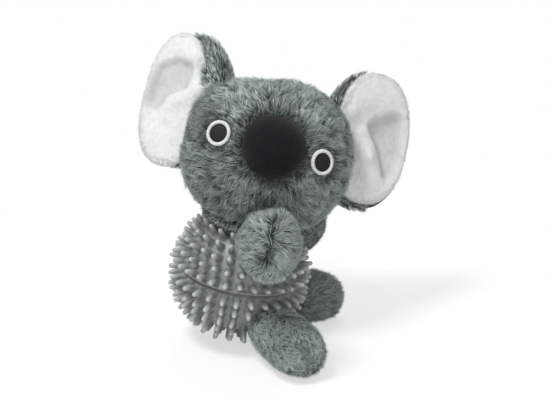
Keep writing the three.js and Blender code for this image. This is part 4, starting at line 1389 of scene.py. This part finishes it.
def leg_flow(side):
    """Combs a leg towards the whorl at the end of its seam."""
    whorl = np.array(LEG_SEAMS[side][1][1])

    def flow(place, normal):
        way = whorl - seen_from(place, leg_places[side])
        swirl = np.cross(normal @ np.array(leg_places[side].to_3x3()), way)
        close = np.exp(-np.linalg.norm(way, axis=1, keepdims=True) / 0.008)
        return turned(unit(unit(way) + unit(swirl) * close * 0.9), leg_places[side])
    return flow


def limb_painted_light(limb_place, seam, whole):
    """Painted shade: the pile is darker in the creases of the seams. whole brightens the pile of the whole
    limb above 1 and darkens it below 1, as painted light and shade.
    """
    def painted_light(place):
        return whole * np.clip(0.3 + off_seam(seen_from(place, limb_place), seam) / 0.005, 0.3, 1)
    return painted_light


def limb_share(under_head, ball_room):
    """The pile of a limb is shorter near the floor, and under the head where the limb reaches there."""
    def share(place):
        neck = seen_from(place, ball_place)
        length = np.clip(place[:, 2] / 0.004, 0.3, 1)
        if under_head:
            length = np.where(neck[:, 2] > shoulder_rise(neck) - PILE, CUT_SHORT, length)
        return np.where((np.linalg.norm(neck, axis=1) > ball_room) & (place[:, 2] > ROOTS_ON_FLOOR), length, 0)
    return share


def ball_or_head_room(points):
    neck = seen_from(points, ball_place)
    return (np.linalg.norm(neck, axis=1) < BALL_REACH) | (neck[:, 2] > shoulder_rise(neck))


for number, name in enumerate(SIDES):
    lay_pile(
        f"{name}_arm_pile", arms[name], f"{name}_arm", "plush", grey_pile, 30 + number,
        count=19800, lie=66, flow=arm_flow(name), share=limb_share(True, YOKE_UNDER + ARM_PILE_ROOM),
        painted_light=limb_painted_light(arm_places[name], ARM_SEAM, ARM_PAINTED_LIGHT), **LIMB_STRANDS,
        meets=(through_range(f"{name}_arm_swing", ball_or_head_room),),
    )
    lay_pile(
        f"{name}_leg_pile", legs[name], f"{name}_leg", "plush", grey_pile, 40 + number,
        count=20000, lie=LEG_LIES[name], flow=leg_flow(name),
        share=limb_share(False, BALL_RADIUS + LEG_PILE_ROOM),
        painted_light=limb_painted_light(leg_places[name], LEG_SEAMS[name], LEG_PAINTED_LIGHT[name]), **LIMB_STRANDS,
    )


def ear_flow(name, back=0.0):
    """Combs an ear outwards from its root, and back where its side turns away."""
    def flow(place, normal):
        local = seen_from(place, ear_places[name])
        out = columns(local[:, 0] + SIDES[name] * 0.01, local[:, 1] + 0.012, 0)
        return turned(unit(out) - [0, 0, back], ear_places[name])
    return flow


def grey_ear_share(name):
    def share(place):
        local = seen_from(place, ear_places[name])
        out = SIDES[name] * local[:, 0]
        inset = white_inset(name, local[:, 1])
        foot = np.where(local[:, 1] < 0, EAR_FEET[name], EAR_HEIGHT / 2)
        white = superellipse(
            (out - (inset + EAR_WIDTH) / 2) / ((EAR_WIDTH - inset) / 2), local[:, 1] / foot, EAR_FULLNESS,
        )
        outer = out > EAR_WIDTH * 0.6
        covered = np.where(outer, local[:, 2] > -0.0008, (white < 0.97) & (local[:, 2] > -0.0052))
        length = np.where(outer, np.interp(-local[:, 2], [0.0008, 0.0056], [0.3, 0.85]), 0.85)
        return np.where(covered | deep_in_head(place, PILE_IN_HEAD), 0, length)
    return share


def white_ear_share(name):
    def share(place):
        local = seen_from(place, ear_places[name])
        flat = local[:, :2] / [1, EAR_WHITE_TOPS[name]]
        x, y = ear_outline(name, True)(np.linspace(0, 2 * math.pi, 181))
        rim = np.min(np.hypot(flat[:, 0, None] - x, flat[:, 1, None] - y), axis=1)
        under = local[:, 2] < front_seat(name, flat) + sunk(name, flat)
        length = 0.35 + 0.65 * np.clip(1 - rim / 0.004, 0, 1)
        return np.where(under | deep_in_head(place, PILE_IN_HEAD), 0, length)
    return share


for name, side in SIDES.items():
    back, front = ears[name]
    lay_pile(
        f"{name}_ear_grey_pile", back, f"{name}_ear", "plush", grey_pile, 50 + side,
        14000, 0.0050, 0.00015, 64, ear_flow(name, 0.5), grey_ear_share(name),
        meets=(through_range(f"{name}_ear_fold", lambda points: deep_in_head(points, PILE)),),
    )
    lay_pile(
        f"{name}_ear_white_pile", front, f"{name}_ear", "fleece", white_pile, 60 + side,
        20000, 0.0018, 0.00009, 62, ear_flow(name), white_ear_share(name), 10, 0.3,
    )


def yoke_share(place):
    neck = seen_from(place, ball_place)
    return np.where(np.arctan2(off_axis(neck), neck[:, 2]) > YOKE_SPREAD - 0.25, 0.9, 0)


def yoke_flow(place, normal):
    neck = seen_from(place, ball_place)
    return turned(unit(columns(neck[:, 0], neck[:, 1], -off_axis(neck))), ball_place)


lay_pile("yoke_pile", yoke, "neck", "plush", grey_pile, 70, 12000, 0.0036, 0.00015, 62, yoke_flow, yoke_share)


# Studio

def shown_to_camera(tree, plain, seen):
    """Mixes two shaders, so that the camera, mirrors and glass see the second."""
    path = add_node(tree, "LightPath").outputs
    total = add_node(tree, "Math", {0: path["Is Camera Ray"], 1: path["Is Glossy Ray"]}, operation="ADD")
    total = add_node(
        tree, "Math", {0: total.outputs[0], 1: path["Is Transmission Ray"]}, operation="ADD", use_clamp=True,
    )
    return add_node(tree, "MixShader", {"Fac": total.outputs[0], 1: plain, 2: seen}).outputs[0]


world = bpy.data.worlds.new("studio")
bpy.context.scene.world = world
world.use_nodes = True
sky = world.node_tree
soft = sky.nodes["Background"]
soft.inputs["Color"].default_value = (0.97, 0.99, 1, 1)
soft.inputs["Strength"].default_value = 0.40
white = add_node(sky, "Background", {"Color": (1, 1, 1, 1), "Strength": 1}).outputs[0]
sky.links.new(shown_to_camera(sky, soft.outputs[0], white), sky.nodes["World Output"].inputs["Surface"])

floor = made(bpy.ops.mesh.primitive_plane_add, size=6)
floor.name = "floor"
paper, tree, shader = node_material("white paper", 0.9, 0)
shader.inputs["Base Color"].default_value = (0.93, 0.94, 0.94, 1)
# the backdrop is white away from the toy and keeps a light shadow near it
far = add_node(tree, "VectorMath", {0: add_node(tree, "TexCoord").outputs["Object"]}, operation="LENGTH")
fade = {"Value": far.outputs["Value"], "From Min": 0.09, "From Max": 0.26, "To Min": 0.6, "To Max": 1.0}
reach = add_node(tree, "MapRange", fade, interpolation_type="SMOOTHSTEP").outputs["Result"]
shine = add_node(tree, "Emission").outputs[0]
lit = add_node(tree, "MixShader", {"Fac": reach, 1: shader.outputs[0], 2: shine}).outputs[0]
tree.links.new(shown_to_camera(tree, shader.outputs[0], lit), tree.nodes["Material Output"].inputs["Surface"])
floor.data.materials.append(paper)


def add_lamp(name, place, power_watts, size):
    bpy.ops.object.select_all(action="DESELECT")
    bpy.ops.object.light_add(type="AREA", location=place)
    lamp = bpy.context.object
    lamp.name = name
    lamp.data.energy = power_watts
    lamp.data.size = size
    lamp.rotation_euler = (Vector((0, 0, 0.07)) - Vector(place)).to_track_quat("-Z", "Y").to_euler()


add_lamp("key", (-0.26, -0.29, 0.81), 5.3, 0.22)
add_lamp("front", (0.10, -0.80, 0.30), 1.5, 0.5)
add_lamp("back", (0.10, 0.45, 0.75), 2.2, 0.5)

aim = Vector((0.0175, 0.0104, 0.0663)) + toy_place
elevation = math.radians(19)
forward = Vector((0, math.cos(elevation), -math.sin(elevation)))
bpy.ops.object.camera_add(location=aim - forward * 0.65)
camera = bpy.context.object
camera.rotation_euler = (math.pi / 2 - elevation, 0, 0)
camera.data.lens = 85
camera.data.sensor_width = 36
camera.data.clip_start = 0.01
bpy.context.scene.camera = camera
bpy.context.scene.view_settings.view_transform = "Standard"
